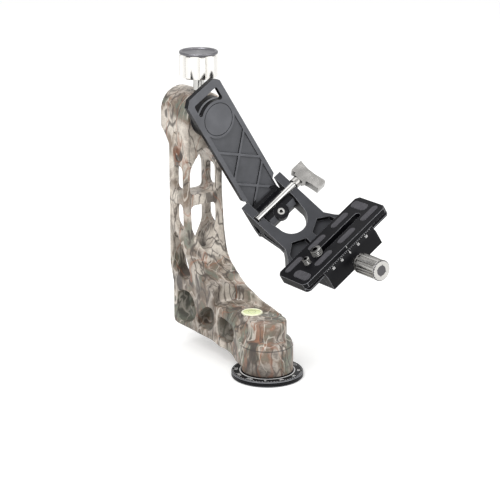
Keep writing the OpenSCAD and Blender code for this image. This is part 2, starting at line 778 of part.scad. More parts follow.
// Fluted knob of the pan lock.
module pan_lock_knob() {
    x0 = drum_d / 2 + pan_knob_gap;
    color("#d2d3d1") rotate(pan_lock_deg) translate([0, 0, pan_lock_z]) difference() {
        translate([x0, 0, 0]) rotate([0, 90, 0]) chamfered_disc(pan_knob_l, pan_knob_d / 2, edge_chamfer);
        bar_x(x0 - over, x0 + pan_knob_l / 2, pan_lock_d / 2);
        for (i = [0 : clamp_flutes - 1]) rotate([i * 360 / clamp_flutes, 0, 0])
            translate([0, pan_knob_d / 2 + clamp_flute_r / 2, 0]) rotate([0, 90, 0])
                cylinder(h = drum_d, r = clamp_flute_r, $fn = small_fn);
    }
}

// The two tilt bearings.
module tilt_bearings() {
    color("#c3c5c8") translate([0, 0, tilt_z]) for (x = [tilt_bearing_out, tilt_bearing_in])
        translate([x, 0, 0]) rotate([0, 90, 0]) tube(bearing_w, bearing_od / 2, hub_bore_r);
}

// Tilt spindle with its brake drum.
module tilt_spindle() {
    x0 = tilt_bearing_out - face_gap - circlip_t;
    color("#9a9c9e") in_swing() difference() {
        union() {
            bar_x(x0 - spindle_above, hub_x1, bearing_bore / 2);
            bar_x(tilt_brake_0, tilt_brake_1, brake_d / 2);
        }
        translate([x0, 0, 0]) rotate([0, 90, 0])
            tube(circlip_t, bearing_bore / 2 + over, bearing_bore / 2 - circlip_groove);
        bar_x(hub_x1 - centre_l, hub_x1 + over, centre_d / 2);
    }
}

module tilt_circlip() {
    color("#55585b") in_swing() translate([tilt_bearing_out - face_gap - circlip_t, 0, 0])
        rotate([0, 90, 0]) circlip();
}

// Cap that closes the housing on the far side.
module tilt_end_cap() {
    color("#26282a") translate([housing_x, 0, tilt_z]) rotate([0, 90, 0])
        chamfered_disc(end_cap_t, cavity_r + end_cap_step - run_fit, edge_chamfer);
}

// Brake shoe under the tilt lock screw.
module tilt_shoe() {
    color("#c9a45a") translate([lock_x, 0, tilt_z + brake_d / 2 + shoe_gap])
        cylinder(h = shoe_t, r = lock_tip_d / 2);
}

// Tilt lock screw, seen below its knob.
module tilt_lock_screw() {
    z0 = tilt_z + brake_d / 2 + shoe_gap + shoe_t;
    z1 = tilt_z + arm_w / 2 + lock_tip_gap;
    z2 = knob_z + lock_knob_h / 2;
    color("#d8d9d7") translate([lock_x, 0, 0]) {
        translate([0, 0, z0]) cylinder(h = z2 - z0, r = lock_tip_d / 2);
        translate([0, 0, z1]) cylinder(h = z2 - z1, r = lock_d / 2);
    }
}

// Scalloped knob of the tilt lock.
module tilt_lock_knob() {
    r = lock_knob_d / 2;
    color("#d9dad8") translate([lock_x, 0, knob_z]) difference() {
        chamfered_disc(lock_knob_h, r, 2 * edge_chamfer);
        translate([0, 0, -over]) cylinder(h = lock_knob_h / 2 + over, r = lock_d / 2);
        for (i = [0 : lock_flutes - 1]) rotate(i * 360 / lock_flutes)
            translate([r + lock_flute_r - lock_flute_in, 0, -over])
                cylinder(h = lock_knob_h + 2 * over, r = lock_flute_r);
    }
}

// Thin turned cap on the tilt lock knob.
module tilt_knob_cap() {
    r = lock_knob_d / 2;
    color("#5c5f61") translate([lock_x, 0, knob_z + lock_knob_h]) rotate_extrude()
        polygon([[0, 0], [r - edge_chamfer, 0], [r, knob_cap_h / 2], [r - edge_chamfer, knob_cap_h],
                 [r - lock_flute_in, knob_cap_h], [r - lock_flute_in - edge_chamfer, knob_cap_h / 2],
                 [0, knob_cap_h / 2]]);
}

// Black hub between the housing and the swing arm.
module tilt_hub() {
    color("#202224") in_swing() difference() {
        translate([hub_x0, 0, 0]) rotate([0, 90, 0])
            chamfered_disc(hub_disc_t, hub_disc_d / 2, edge_chamfer);
        bar_x(hub_x0 - over, hub_x1 + over, bearing_bore / 2 + run_fit);
        for (i = [0 : 3]) rotate([i * 90 + face_deg, 0, 0]) translate([0, hub_screw_r, 0])
            bar_x(hub_x1 - hub_screw_l, hub_x1 + over, hub_screw_d / 2);
    }
}

// Outline of the swing arm in y and z.
function swing_outline() =
    let (w = swing_w / 2, t = swing_top, c = corner_cut, n = neck_half)
    [[-w + c, t], [w - c, t], [w, t - c], [w, -neck_from], [n, -neck_full],
     [n, -rod_l], [-n, -rod_l], [-n, -neck_full], [-w, -neck_from], [-w, t - c]];

// Side profile in x and z of the lug that carries the rod.
function lug_profile() =
    let (x0 = hub_x1, x1 = swing_x1, b = rod_x - rod_sink, e = lug_below, t = lug_tail)
    [[x0, -neck_from], [x1, -neck_from], [x1, -rod_l + 7 * rod_d / 6], [x1 + rod_d / 6, -rod_l + 2 * rod_d / 3],
     [x1 + rod_d / 2, -rod_l + rod_d / 3], [rod_x - rod_d / 2, -rod_l + rod_d / 3],
     [b, -rod_l - rod_d / 4], [b + e / sqrt(2), -rod_l - e / sqrt(2)],
     [rod_x - rod_sink, -rod_l - t], [x0 + rod_d, -rod_l - t], [x0, -rod_l - e]];

// Swing arm with its relief, window, cap recess and lower lug.
module swing_arm() {
    w = swing_w / 2 - border;
    color("#2b2d30") in_swing() difference() {
        union() {
            slab_x(swing_outline(), hub_x1, swing_x1);
            intersection() {
                slab_y(lug_profile(), -neck_half, neck_half);
                union() {
                    block(hub_x1 - over, swing_x1 + rod_out, 2 * lug_half, -rod_l - lug_boss_r * 3, 0);
                    on_nose() translate([set_s, set_w, -2 * rod_out])
                        cylinder(h = 3 * rod_out, r = lug_boss_r);
                }
            }
            on_nose() translate([set_s, set_w, -rod_d - over]) cylinder(h = rod_d, r = lug_boss_r);
        }
        // Relief with its crossing ribs.
        difference() {
            block(swing_x1 - relief, swing_x1 + over, 2 * w, -relief_end, 0);
            bar_x(hub_x1, swing_x1 + 2 * over, cap_d / 2 + cap_land);
            for (z = [rib_cross_1, rib_cross_2], a = [-rib_deg, rib_deg])
                translate([0, 0, -z]) rotate([a, 0, 0])
                    block(hub_x1, swing_x1 + 2 * over, rib_w, -rib_l / 4, rib_l / 4);
        }
        // Window above the cap.
        difference() {
            slab_x(soften([[-slot_half, slot_low], [-slot_half, slot_out], [slot_half, slot_out],
                           [slot_half, slot_low]], rib_w), hub_x1 - over, swing_x1 + over);
            bar_x(hub_x1 - 2 * over, swing_x1 + 2 * over, slot_in);
        }
        // Recess for the cap, and the screws under it.
        bar_x(swing_x1 - cap_t, swing_x1 + over, cap_d / 2 + cap_gap);
        bar_x(hub_x1 - over, swing_x1 + over, centre_d / 2);
        bar_x(swing_x1 - cap_t - hub_head_t, swing_x1 + over, centre_head_d / 2);
        for (i = [0 : 3]) rotate([i * 90 + face_deg, 0, 0]) translate([0, hub_screw_r, 0]) {
            bar_x(hub_x1 - over, swing_x1, hub_screw_d / 2);
            bar_x(swing_x1 - cap_t - hub_head_t, swing_x1, hub_head_d / 2);
        }
        // Seat of the rod and its set screw.
        translate([rod_x, 0, -rod_l]) bar_y(-swing_w, swing_w, rod_d / 2);
        on_nose() translate([set_s, set_w, -set_l - over - set_inset])
            cylinder(h = rod_out, r = set_d / 2, $fn = small_fn);
    }
}

// Screws that hold the swing arm to the hub.
module hub_screws() {
    color("#8d8f91") in_swing() for (i = [0 : 3]) rotate([i * 90 + face_deg, 0, 0])
        translate([swing_x1 - cap_t, hub_screw_r, 0]) rotate([0, 90, 0])
            socket_screw(hub_screw_d, hub_screw_l, hub_head_d, hub_head_t);
}

// Centre screw that holds the hub to the spindle.
module hub_centre_screw() {
    color("#8d8f91") in_swing() translate([swing_x1 - cap_t, 0, 0]) rotate([0, 90, 0])
        socket_screw(centre_d, centre_l, centre_head_d, hub_head_t);
}

// Round cover over the tilt axis.
module swing_cap() {
    color("#35373a") in_swing() translate([swing_x1 - cap_t, 0, 0]) rotate([0, 90, 0])
        cylinder(h = cap_t, r = cap_d / 2);
}

// Steel rod that the yoke folds on.
module hinge_rod() {
    y0 = -(yoke_gap / 2 + cheek_t - rod_cheek_in);
    y1 = yoke_gap / 2 + cheek_t + wing_gap + wing_neck_l + rod_tip;
    color("#d6d7d6") in_swing() translate([rod_x, 0, -rod_l]) bar_y(y0, y1, rod_d / 2);
}

// Set screw that pinches the rod.
module rod_set_screw() {
    color("#cfd0ce") in_swing() on_nose() translate([set_s, set_w, -over - set_inset]) difference() {
        translate([0, 0, -set_l]) cylinder(h = set_l, r = set_d / 2, $fn = small_fn);
        translate([0, 0, -set_l * socket_share])
            cylinder(h = set_l, r = set_d / 2 * socket_share, $fn = 6);
    }
}

// Side profile of the yoke in x and z.
function yoke_profile() =
    let (x = rod_x, z = -rod_l, e = clamp_back(), f = -clamp_bottom(), p = platform_t,
         u = face_run, d = face_drop, top = face_pts([[-cheek_top_s, 0]])[0])
    concat([[x + top[0], z + top[1]], [x + u, z - d], [e - face_gap, z - d - yoke_step], [e - face_gap, f],
            [plate_x, f], [plate_x, f - p / 2], [plate_x - p, f - p], [e - 2 * p, f - p]],
           [for (s = yoke_under_share) [x + u + s[0] * p, f + s[1] * p]],
           [for (q = face_pts(yoke_rear_share * flare_end_s)) [x + q[0], z + q[1]]]);

// Outer face of the fixed jaw, and the bottom of the clamp below the tilt axis.
function clamp_back() = plate_x - plate_w / 2 - jaw_out;
function clamp_bottom() = plate_l + plate_t + slide_fit + clamp_t;

// Folding yoke: two cheeks, the bridge with its pockets and the platform.
module yoke() {
    g = yoke_gap / 2;
    c = g + cheek_t;
    far = plate_x - rod_x + clamp_bottom() + platform_t - rod_l;
    color("#303236") in_swing() difference() {
        intersection() {
            slab_y(yoke_profile(), -flare_w, flare_w);
            on_face() translate([0, 0, -far]) linear_extrude(height = 2 * far)
                polygon([[-cheek_top_s - over, -c], [flare_s, -c], [flare_mid_s, -flare_mid_w],
                         [flare_end_s, -flare_w], [flare_end_s + platform_w / 3, -flare_w],
                         [flare_end_s + platform_w / 2, -platform_w], [far, -platform_w],
                         [far, platform_w], [flare_end_s + platform_w / 2, platform_w],
                         [flare_end_s + platform_w / 3, flare_w],
                         [flare_end_s, flare_w], [flare_mid_s, flare_mid_w], [flare_s, c],
                         [-cheek_top_s - over, c]]);
        }
        // Opening between the cheeks.
        on_face() translate([0, 0, -far]) linear_extrude(height = 2 * far)
            polygon(concat([[-cheek_top_s * 2, -g], [opening_far, -g]],
                [for (k = [0 : 4 * corner_steps]) let (a = -90 + k * 180 / (4 * corner_steps))
                    [opening_s + opening_r * cos(a), opening_r * sin(a)]],
                [[opening_far, g], [-cheek_top_s * 2, g]]));
        // Bridge pockets on both sides of the spine.
        for (s = [-1, 1]) on_face() translate([0, 0, -pocket_d]) linear_extrude(height = far)
            polygon(concat([for (q = bridge_near_share) [q[0] * flare_end_s, s * q[1] * platform_w]],
                [for (q = bridge_end_share) [pocket_end_s, s * q * platform_w]],
                [for (q = bridge_side_share) [q[0] * flare_end_s, s * q[1] * platform_w]]));
        // Rod bore, blind in the cheek without the wing nut.
        translate([rod_x, 0, -rod_l]) bar_y(-(c - rod_cheek_in + over), c + over, rod_d / 2 + run_fit);
        // Lightening pockets in the cheeks' flanks.
        for (s = [-1, 1]) translate([rod_x, s * c, -rod_l]) {
            slab_y(soften(face_pts(flank_a_share * flare_end_s), rib_w), -side_pocket_d, side_pocket_d);
            slab_y(soften(face_pts(flank_b_share * flare_end_s), rib_w), -side_pocket_d, side_pocket_d);
        }
        // Holes for the screws that hold the clamp.
        for (w = [-under_w, under_w]) translate([plate_x - under_w, w, -clamp_bottom() - platform_t - over]) {
            cylinder(h = platform_t + 2 * over, r = under_d / 2 + run_fit, $fn = small_fn);
            cylinder(h = under_head_t + over, r = under_head_d / 2 + run_fit, $fn = small_fn);
        }
    }
}

// Wing nut on the rod's threaded end.
module wing_nut() {
    n = wing_neck_d / 2;
    y0 = yoke_gap / 2 + cheek_t + wing_gap;
    y1 = y0 + wing_neck_l;
    color("#dcddda") in_swing() translate([rod_x, 0, -rod_l]) difference() {
        union() {
            bar_y(y0, y1 + over, n);
            rotate([0, 90 - wing_deg, 0]) translate([0, 0, -wing_depth / 2])
                linear_extrude(height = wing_depth)
                    polygon(concat([[-n, y1 - over]],
                        [for (s = wing_short_share) [-s[0] * lobe_short, y1 + s[1] * wing_t]],
                        [[0, y1 + wing_dip_share * wing_t]],
                        [for (s = wing_long_share) [s[0] * lobe_long, y1 + s[1] * wing_t]],
                        [[n, y1 - over]]));
        }
        bar_y(y0 - over, y1 + rod_tip + face_gap, rod_d / 2 + run_fit);
    }
}

// Profile in x and z of one jaw's gripping side, for a jaw on the +X side
// of the plate's centre line, from the plate's seat up to the lip.
function jaw_pts(x_in) =
    let (s = -(plate_l + plate_t + slide_fit), b = -(plate_l + plate_t + slide_fit + clamp_t),
         h = plate_w / 2, f = h - foot_in + slide_fit, n = h - groove_in + slide_fit,
         o = h + jaw_out, u = -(plate_l + slab_t + jaw_lip))
    [[x_in, b], [o, b], [o, s - jaw_drop], [o - jaw_bevel, u], [n + groove_flat / 2, u],
     [n, u - groove_flat / 2], [f, u - groove_flat / 2 - (f - n)], [f, s], [x_in, s]];

// Clamp body with the fixed jaw.
module clamp_body() {
    b = -(plate_l + plate_t + slide_fit + clamp_t);
    s = -(plate_l + plate_t + slide_fit);
    color("#1f2123") in_swing() translate([plate_x, 0, 0]) difference() {
        union() {
            mirror([1, 0, 0]) slab_y(jaw_pts(0), -jaw_len / 2, jaw_len / 2);
            block(-over, jaw_split - face_gap, jaw_len, b, s);
        }
        for (w = [-pin_w, pin_w]) translate([0, w, s - clamp_axis])
            bar_x(jaw_split - pin_l - over, jaw_split + over, pin_d / 2 + run_fit);
        translate([0, 0, s - clamp_axis])
            bar_x(jaw_split - clamp_screw_into - over, jaw_split + over, clamp_screw_d / 2 + run_fit);
        for (w = [-under_w, under_w]) translate([-under_w, w, b - over])
            cylinder(h = under_into + over, r = under_d / 2, $fn = small_fn);
    }
}

// Screws that hold the clamp to the yoke's platform.
module clamp_screws() {
    b = -(plate_l + plate_t + slide_fit + clamp_t);
    color("#3a3b3d") in_swing() translate([plate_x, 0, 0])
        for (w = [-under_w, under_w])
            translate([-under_w, w, b - platform_t]) rotate([180, 0, 0])
                socket_screw(under_d, under_into + platform_t, under_head_d, under_head_t);
}

// Movable jaw on the +X side.
module movable_jaw() {
    s = -(plate_l + plate_t + slide_fit);
    color("#1f2123") in_swing() translate([plate_x, 0, 0]) difference() {
        slab_y(jaw_pts(jaw_split), -jaw_len / 2, jaw_len / 2);
        for (w = [-pin_w, pin_w]) translate([0, w, s - clamp_axis])
            bar_x(jaw_split - over, jaw_split + pin_in_jaw, pin_d / 2);
        translate([0, 0, s - clamp_axis])
            bar_x(jaw_split - over, plate_w, clamp_screw_d / 2 + clamp_screw_clear);
    }
}

// Guide pins pressed into the movable jaw.
module jaw_pins() {
    s = -(plate_l + plate_t + slide_fit);
    color("#c4c6c8") in_swing() translate([plate_x, 0, s - clamp_axis])
        for (w = [-pin_w, pin_w]) translate([0, w, 0])
            bar_x(jaw_split + pin_in_jaw - pin_l, jaw_split + pin_in_jaw, pin_d / 2);
}

// Clamp screw between the knob and the clamp body.
module clamp_screw() {
    s = -(plate_l + plate_t + slide_fit);
    o = plate_w / 2 + jaw_out;
    color("#c4c6c8") in_swing() translate([plate_x, 0, s - clamp_axis])
        bar_x(jaw_split - clamp_screw_into + face_gap, o + clamp_neck_l + clamp_knob_l / 3, clamp_screw_d / 2);
}

// Fluted clamp knob with its conical neck and dished end.
module clamp_knob() {
    s = -(plate_l + plate_t + slide_fit);
    o = plate_w / 2 + jaw_out + face_gap;
    r = clamp_knob_d / 2;
    n = clamp_neck_d / 2;
    m = clamp_neck_l;
    l = m + clamp_knob_l;
    color("#cfd0ce") in_swing() translate([plate_x + o, 0, s - clamp_axis]) difference() {
        rotate([0, 90, 0]) rotate_extrude()
            polygon([[0, 0], [n, 0], [n, m / 2], [r - over, m], [r, m + over], [r, l - over], [r - over, l],
                     [r / 2, l - knob_dish / 2], [0, l - knob_dish]]);
        bar_x(-over, m + clamp_knob_l / 3 - face_gap, clamp_screw_d / 2);
        for (i = [0 : clamp_flutes - 1]) rotate([i * 360 / clamp_flutes, 0, 0])
            translate([0, r + clamp_flute_r / 3, 0])
                bar_x(m + 2 * over, l - 2 * over, clamp_flute_r, $fn = small_fn);
    }
}

// Quick release plate with its grooves, slot and pad seats.
module qr_plate() {
    h = plate_w / 2;
    z = -plate_l;
    l = plate_len / 2;
    c = plate_corner;
    color("#17181a") in_swing() translate([plate_x, 0, 0]) difference() {
        intersection() {
            slab_y([[-h, z], [h, z], [h, z - slab_t], [h - groove_in, z - slab_t - jaw_lip],
                    [h - groove_in, z - slab_t - jaw_lip - groove_flat],
                    [h - foot_in, z - slab_t - jaw_lip - groove_flat - groove_in + foot_in],
                    [h - foot_in, z - plate_t], [-h + foot_in, z - plate_t],
                    [-h + foot_in, z - slab_t - jaw_lip - groove_flat - groove_in + foot_in],
                    [-h + groove_in, z - slab_t - jaw_lip - groove_flat],
                    [-h + groove_in, z - slab_t - jaw_lip], [-h, z - slab_t]], -l, l);
            translate([0, 0, z - plate_t - over]) linear_extrude(height = plate_t + 2 * over)
                polygon([[-h, -l + c], [-h + c, -l], [h - c, -l], [h, -l + c], [h, l - c], [h - c, l],
                         [-h + c, l], [-h, l - c]]);
        }
        // Screw slot, round at its far end.
        translate([0, 0, z - plate_t - over]) {
            translate([-slot_w / 2, slot_from, 0]) cube([slot_w, slot_to - slot_from, plate_t + 2 * over]);
            translate([0, slot_to, 0]) cylinder(h = plate_t + 2 * over, r = slot_w / 2);
            translate([0, big_w, 0]) cylinder(h = plate_t + 2 * over, r = screw_big_d / 2 + run_fit);
            translate([0, small_w, 0]) cylinder(h = plate_t + 2 * over, r = screw_small_d / 2 + run_fit);
            translate([0, big_w, 0])
                cylinder(h = over + head_t + head_recess, r = screw_big_d / 2 + head_over + run_fit);
            translate([0, small_w, 0])
                cylinder(h = over + head_t + head_recess, r = screw_small_d / 2 + head_over + run_fit);
        }
        pad_shapes(pad_sink + over, 0);
    }
}

// One long pad with round ends, its length along y.
module pad(w, l, h) {
    translate([-w / 2, -(l - w) / 2, 0]) cube([w, l - w, h]);
    for (s = [-1, 1]) translate([0, s * (l - w) / 2, 0]) cylinder(h = h, r = w / 2, $fn = small_fn);
}

// All pads, from their seats up, in the plate's frame.
module pad_shapes(h, z_up) {
    p = pad_pitch;
    translate([0, 0, -plate_l - pad_sink + z_up]) {
        for (k = [-1 : 1]) translate([-pad_left, (k - 1 / 4) * p, 0]) pad(pad_w, pad_l, h);
        for (k = [-1 : 1]) translate([pad_right, (k + 1 / 3) * p, 0]) pad(pad_w, pad_l, h);
        translate([end_pad_near, -plate_len / 2 + end_pad_in, 0]) rotate(90) pad(end_pad_w, pad_l, h);
        translate([-end_pad_far, plate_len / 2 - end_pad_in, 0]) rotate(90) pad(end_pad_w, pad_l, h);
    }
}

// Rubber pads set into the plate's top.
module plate_pads() {
    color("#4b4b50") in_swing() translate([plate_x, 0, 0]) pad_shapes(pad_sink + pad_proud, 0);
}

// Camera screw: its threaded tip stands above the plate, with a neck in the slot and the head below.
module stud(d, w) {
    z0 = -plate_l - plate_t + head_recess / 2;
    neck_l = plate_t - head_recess / 2 + stud_lift;
    in_swing() translate([plate_x, w, z0]) difference() {
        union() {
            cylinder(h = head_t, r = d / 2 + head_over);
            cylinder(h = neck_l + over, r = d / 2 * stud_neck_share);
            translate([0, 0, neck_l]) cylinder(h = screw_up - stud_lift, r = d / 2);
        }
        translate([0, 0, plate_t + screw_up - head_t])
            cylinder(h = plate_t, r = d / 2 * socket_share, $fn = 6);
        translate([0, 0, -over]) cylinder(h = over + head_t / 2, r = d / 2 * socket_share, $fn = 6);
    }
}

module camera_screw() {
    color("#d5d6d3") stud(screw_big_d, big_w);
}

module lens_screw() {
    color("#d5d6d3") stud(screw_small_d, small_w);
}

base_disc();
pan_spindle();
thread_bush();
base_screws();
pan_retainer();
pan_bearings();
pan_spacer();
pan_circlip();
arm();
level_base();
level_vial();
pan_shoe();
pan_lock_screw();
pan_lock_knob();
tilt_bearings();
tilt_spindle();
tilt_circlip();
tilt_end_cap();
tilt_shoe();
tilt_lock_screw();
tilt_lock_knob();
tilt_knob_cap();
tilt_hub();
swing_arm();
hub_screws();
hub_centre_screw();
swing_cap();
hinge_rod();
rod_set_screw();
yoke();
wing_nut();
clamp_body();
clamp_screws();
movable_jaw();
jaw_pins();
clamp_screw();
clamp_knob();
qr_plate();
plate_pads();
camera_screw();
lens_screw();
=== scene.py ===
"""Looks of a side-arm gimbal tripod head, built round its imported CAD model.

Lengths are in millimetres unless a name or a comment says otherwise. The row frame is the CAD model's
own: +Z runs up the pan axis and X along the tilt axis.
"""

import json
import math

import bmesh
import bpy
from mathutils import Matrix, Vector


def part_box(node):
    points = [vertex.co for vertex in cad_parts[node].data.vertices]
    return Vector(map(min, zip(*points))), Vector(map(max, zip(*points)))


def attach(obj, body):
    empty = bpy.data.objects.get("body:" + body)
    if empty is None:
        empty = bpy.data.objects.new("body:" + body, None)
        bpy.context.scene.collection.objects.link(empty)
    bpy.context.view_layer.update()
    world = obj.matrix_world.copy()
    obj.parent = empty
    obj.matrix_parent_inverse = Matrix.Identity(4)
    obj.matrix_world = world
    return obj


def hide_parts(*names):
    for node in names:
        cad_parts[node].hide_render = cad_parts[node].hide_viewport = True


bl_info = {
    "name": "Gimbal head looks",
    "version": (1, 0, 0),
    "blender": (4, 5, 0),
    "location": "3D View > Sidebar > Gimbal head",
    "description": "Dresses the CAD model of a gimbal tripod head: castings, anodised arms, knobs and marks",
    "category": "Object",
}

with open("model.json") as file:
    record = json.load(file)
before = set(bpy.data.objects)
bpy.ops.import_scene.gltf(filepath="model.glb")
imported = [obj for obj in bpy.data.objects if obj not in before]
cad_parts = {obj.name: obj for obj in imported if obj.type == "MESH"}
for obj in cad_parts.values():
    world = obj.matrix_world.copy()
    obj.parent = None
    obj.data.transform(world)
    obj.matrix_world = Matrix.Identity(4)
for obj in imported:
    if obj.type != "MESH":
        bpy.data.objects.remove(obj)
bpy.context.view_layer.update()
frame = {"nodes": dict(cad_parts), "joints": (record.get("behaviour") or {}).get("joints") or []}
NODES = frame["nodes"]
JOINTS = {joint["name"]: joint for joint in frame["joints"]}
MM = 0.001
INCH = 25.4
UP = Vector((0, 0, 1))
ALONG_X = Vector((1, 0, 0))
ALONG_Y = Vector((0, 1, 0))
# Directions at rest: along the plate, and down the swing arm from the tilt axis.
ALONG_PLATE = Vector(JOINTS["plate_slide"]["axis"])
DOWN_ARM = -Vector(JOINTS["camera_screw_turn"]["axis"])
# The plate's top face from the tilt axis, and the middle of its slot across the swing frame.
PLATE_FACE = 115.4
SLOT_X = 5.65
# Corners closer than the gap are one, and so are faces that meet closer to flat than the angle.
JOIN_GAP = 0.001 * MM
FLAT_ANGLE = math.radians(0.4)
# A Mix node that blends colours: its factor, its two colours and its result.
SHARE, UNDER, OVER, MIXED = 0, 6, 7, 2
# The strut's round pockets: place in x and z, and how far the bare paint reaches from there.
POCKETS = ((-97, 36, 16.5), (-67, 31, 11), (-38, 31, 13))
# Lamps: name, place in metres, size and power. All of them point at the object's middle.
LAMPS = (
    ("key", (0.9, -1.6, 1.9), 1.3, 34),
    ("fill", (1.9, 0.9, 1.0), 1.4, 15),
    ("top", (-0.4, 0.2, 2.4), 1.6, 14),
)
LAMPS_AIM = Vector((-0.03, 0.02, 0.12))
# The photograph's camera: place in metres, heading and fall in degrees, and lens in pixels of its frame.
CAMERA_PLACE = Vector((1.1936, -0.8824, 0.5695))
CAMERA_HEADING = 144.08
CAMERA_FALL = 17.244
LENS_PIXELS = 1906.0
FRAME_PIXELS = 500
SENSOR = 36


# Small tools


def linear(code):
    """sRGB hex colour to the linear values that a shader takes."""
    channels = [int(code[i : i + 2], 16) / 255 for i in (1, 3, 5)]
    return tuple(c / 12.92 if c <= 0.04045 else ((c + 0.055) / 1.055) ** 2.4 for c in channels)


def opaque(colour):
    """A linear colour with its alpha, as a node's colour socket takes it."""
    return (*colour[:3], 1.0)


def add(tree, kind, inputs=None, **settings):
    """Adds a node. inputs maps a socket's name or number to a value or to the socket that feeds it."""
    made = tree.nodes.new(kind)
    for key, value in settings.items():
        setattr(made, key, value)
    for key, value in (inputs or {}).items():
        if isinstance(value, bpy.types.NodeSocket):
            tree.links.new(value, made.inputs[key])
        else:
            made.inputs[key].default_value = value
    return made


def set_stops(ramp, *stops):
    """Gives a colour ramp its stops, each a place from 0 to 1 and a colour or a grey value."""
    points = ramp.color_ramp.elements
    while len(points) > 1:
        points.remove(points[-1])
    for i, (place, value) in enumerate(stops):
        point = points[0] if i == 0 else points.new(place)
        point.position = place
        point.color = (value, value, value, 1) if isinstance(value, (int, float)) else opaque(value)
    return ramp.outputs["Color"]


def new_finish(name, colour, metallic, roughness, **sockets):
    """A material with its shader's own sockets set, its tree, and the place on the object in mm."""
    finish = bpy.data.materials.new(name)
    finish.use_nodes = True
    tree = finish.node_tree
    shader = tree.nodes["Principled BSDF"]
    values = {"Base Color": opaque(colour), "Metallic": metallic, "Roughness": roughness}
    for key, value in {**values, **sockets}.items():
        shader.inputs[key].default_value = value
    spot = add(tree, "ShaderNodeTexCoord").outputs["Object"]
    spot = add(tree, "ShaderNodeVectorMath", {0: spot, "Scale": 1 / MM}, operation="SCALE").outputs[0]
    return finish, tree, shader, spot


def swing(x, w, drop):
    """A point of the swing frame, x across, w along the plate and drop down from the tilt axis, in metres."""
    hub = Vector(JOINTS["tilt_turn"]["pos_m"])
    return Vector((x * MM, hub.y, hub.z)) + ALONG_PLATE * w * MM + DOWN_ARM * drop * MM


def link(name, mesh, body, slot, *replaced):
    """Puts a mesh into the scene as a piece that rides on a body and may stand for CAD nodes."""
    piece = bpy.data.objects.new(name, mesh)
    bpy.context.scene.collection.objects.link(piece)
    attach(piece, body)
    if replaced:
        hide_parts(*replaced)
    return piece


def clean_mesh(node):
    """A node's mesh with its split points joined and its flat faces merged."""
    work = bmesh.new()
    work.from_mesh(NODES[node].data)
    bmesh.ops.remove_doubles(work, verts=work.verts, dist=JOIN_GAP)
    bmesh.ops.dissolve_limit(
        work, angle_limit=FLAT_ANGLE, verts=work.verts, edges=work.edges, use_dissolve_boundaries=False
    )
    mesh = bpy.data.meshes.new(node + "_clean")
    work.to_mesh(mesh)
    work.free()
    for name in ("custom_normal", "UVMap"):
        if name in mesh.attributes:
            mesh.attributes.remove(mesh.attributes[name])
    mesh.materials.clear()
    return mesh


def applied(mesh, modifiers):
    """The mesh after a list of (kind, settings) modifiers."""
    holder = bpy.data.objects.new("holder", mesh)
    bpy.context.scene.collection.objects.link(holder)
    for kind, settings in modifiers:
        modifier = holder.modifiers.new(kind.lower(), kind)
        for key, value in settings.items():
            setattr(modifier, key, value)
    graph = bpy.context.evaluated_depsgraph_get()
    done = bpy.data.meshes.new_from_object(holder.evaluated_get(graph))
    bpy.data.objects.remove(holder)
    return done


def smooth_faces(mesh, angle):
    """Shades a mesh smooth but for edges sharper than an angle."""
    mesh.polygons.foreach_set("use_smooth", [True] * len(mesh.polygons))
    mesh.set_sharp_from_angle(angle=math.radians(angle))
    return mesh


def bevelled(node, body, slot, finishes, width, pick=None):
    """A piece that stands for a node, with its edges broken as a machinist leaves them.

    finishes are the materials of faces and of edges, and any more. pick(face) gives the number of a
    face's material.
    """
    break_angle, shade_angle = 30, 62
    mesh = clean_mesh(node)
    for finish in finishes:
        mesh.materials.append(finish)
    if pick:
        for face in mesh.polygons:
            face.material_index = pick(face)
    edge = {
        "width": width,
        "segments": 2,
        "limit_method": "ANGLE",
        "angle_limit": math.radians(break_angle),
        # The bevel faces take the second finish, which on anodised parts is a painted highlight.
        "material": 1,
        "use_clamp_overlap": True,
        "loop_slide": True,
    }
    smooth_faces(mesh, shade_angle)
    mesh = applied(mesh, [("BEVEL", edge), ("WEIGHTED_NORMAL", {"keep_sharp": True, "weight": 90})])
    mesh.name = node + "_dressed"
    return link(mesh.name, mesh, body, slot, node)


def turned(rings, sides, origin, axis, finish, wave=None):
    """A lathe-turned closed mesh from (radius, height) rings in mm, along an axis from a point in metres.

    wave(height, turn, radius) gives the radius at a turn from 0 to 1, for threads and sockets.
    """
    work = bmesh.new()
    place = Matrix.Translation(origin) @ UP.rotation_difference(Vector(axis)).to_matrix().to_4x4()
    loops = []
    for radius, height in rings:
        loop = []
        for i in range(sides):
            turn = i / sides
            r = wave(height, turn, radius) if wave else radius
            corner = Vector((r * math.cos(math.tau * turn), r * math.sin(math.tau * turn), height)) * MM
            loop.append(work.verts.new(place @ corner))
        loops.append(loop)
    for low, high in zip(loops, loops[1:]):
        for i in range(sides):
            j = (i + 1) % sides
            work.faces.new((low[i], low[j], high[j], high[i]))
    work.faces.new(list(reversed(loops[0])))
    work.faces.new(loops[-1])
    mesh = bpy.data.meshes.new("turned")
    work.to_mesh(mesh)
    work.free()
    mesh.materials.append(finish)
    return smooth_faces(mesh, 40)


def flat_piece(outlines, origin, across, up, finish, lift=0.04, thick=0.04):
    """Thin ink shapes on a plane: each outline is a list of (u, v) corners in mm from the origin."""
    across, up = Vector(across).normalized(), Vector(up).normalized()
    out = across.cross(up)
    work = bmesh.new()
    for outline in outlines:
        low = [work.verts.new(origin + (across * u + up * v + out * lift) * MM) for u, v in outline]
        high = [work.verts.new(vert.co + out * thick * MM) for vert in low]
        work.faces.new(high)
        work.faces.new(list(reversed(low)))
        for i, vert in enumerate(low):
            j = (i + 1) % len(low)
            work.faces.new((vert, low[j], high[j], high[i]))
    mesh = bpy.data.meshes.new("ink")
    work.to_mesh(mesh)
    work.free()
    mesh.materials.append(finish)
    return mesh


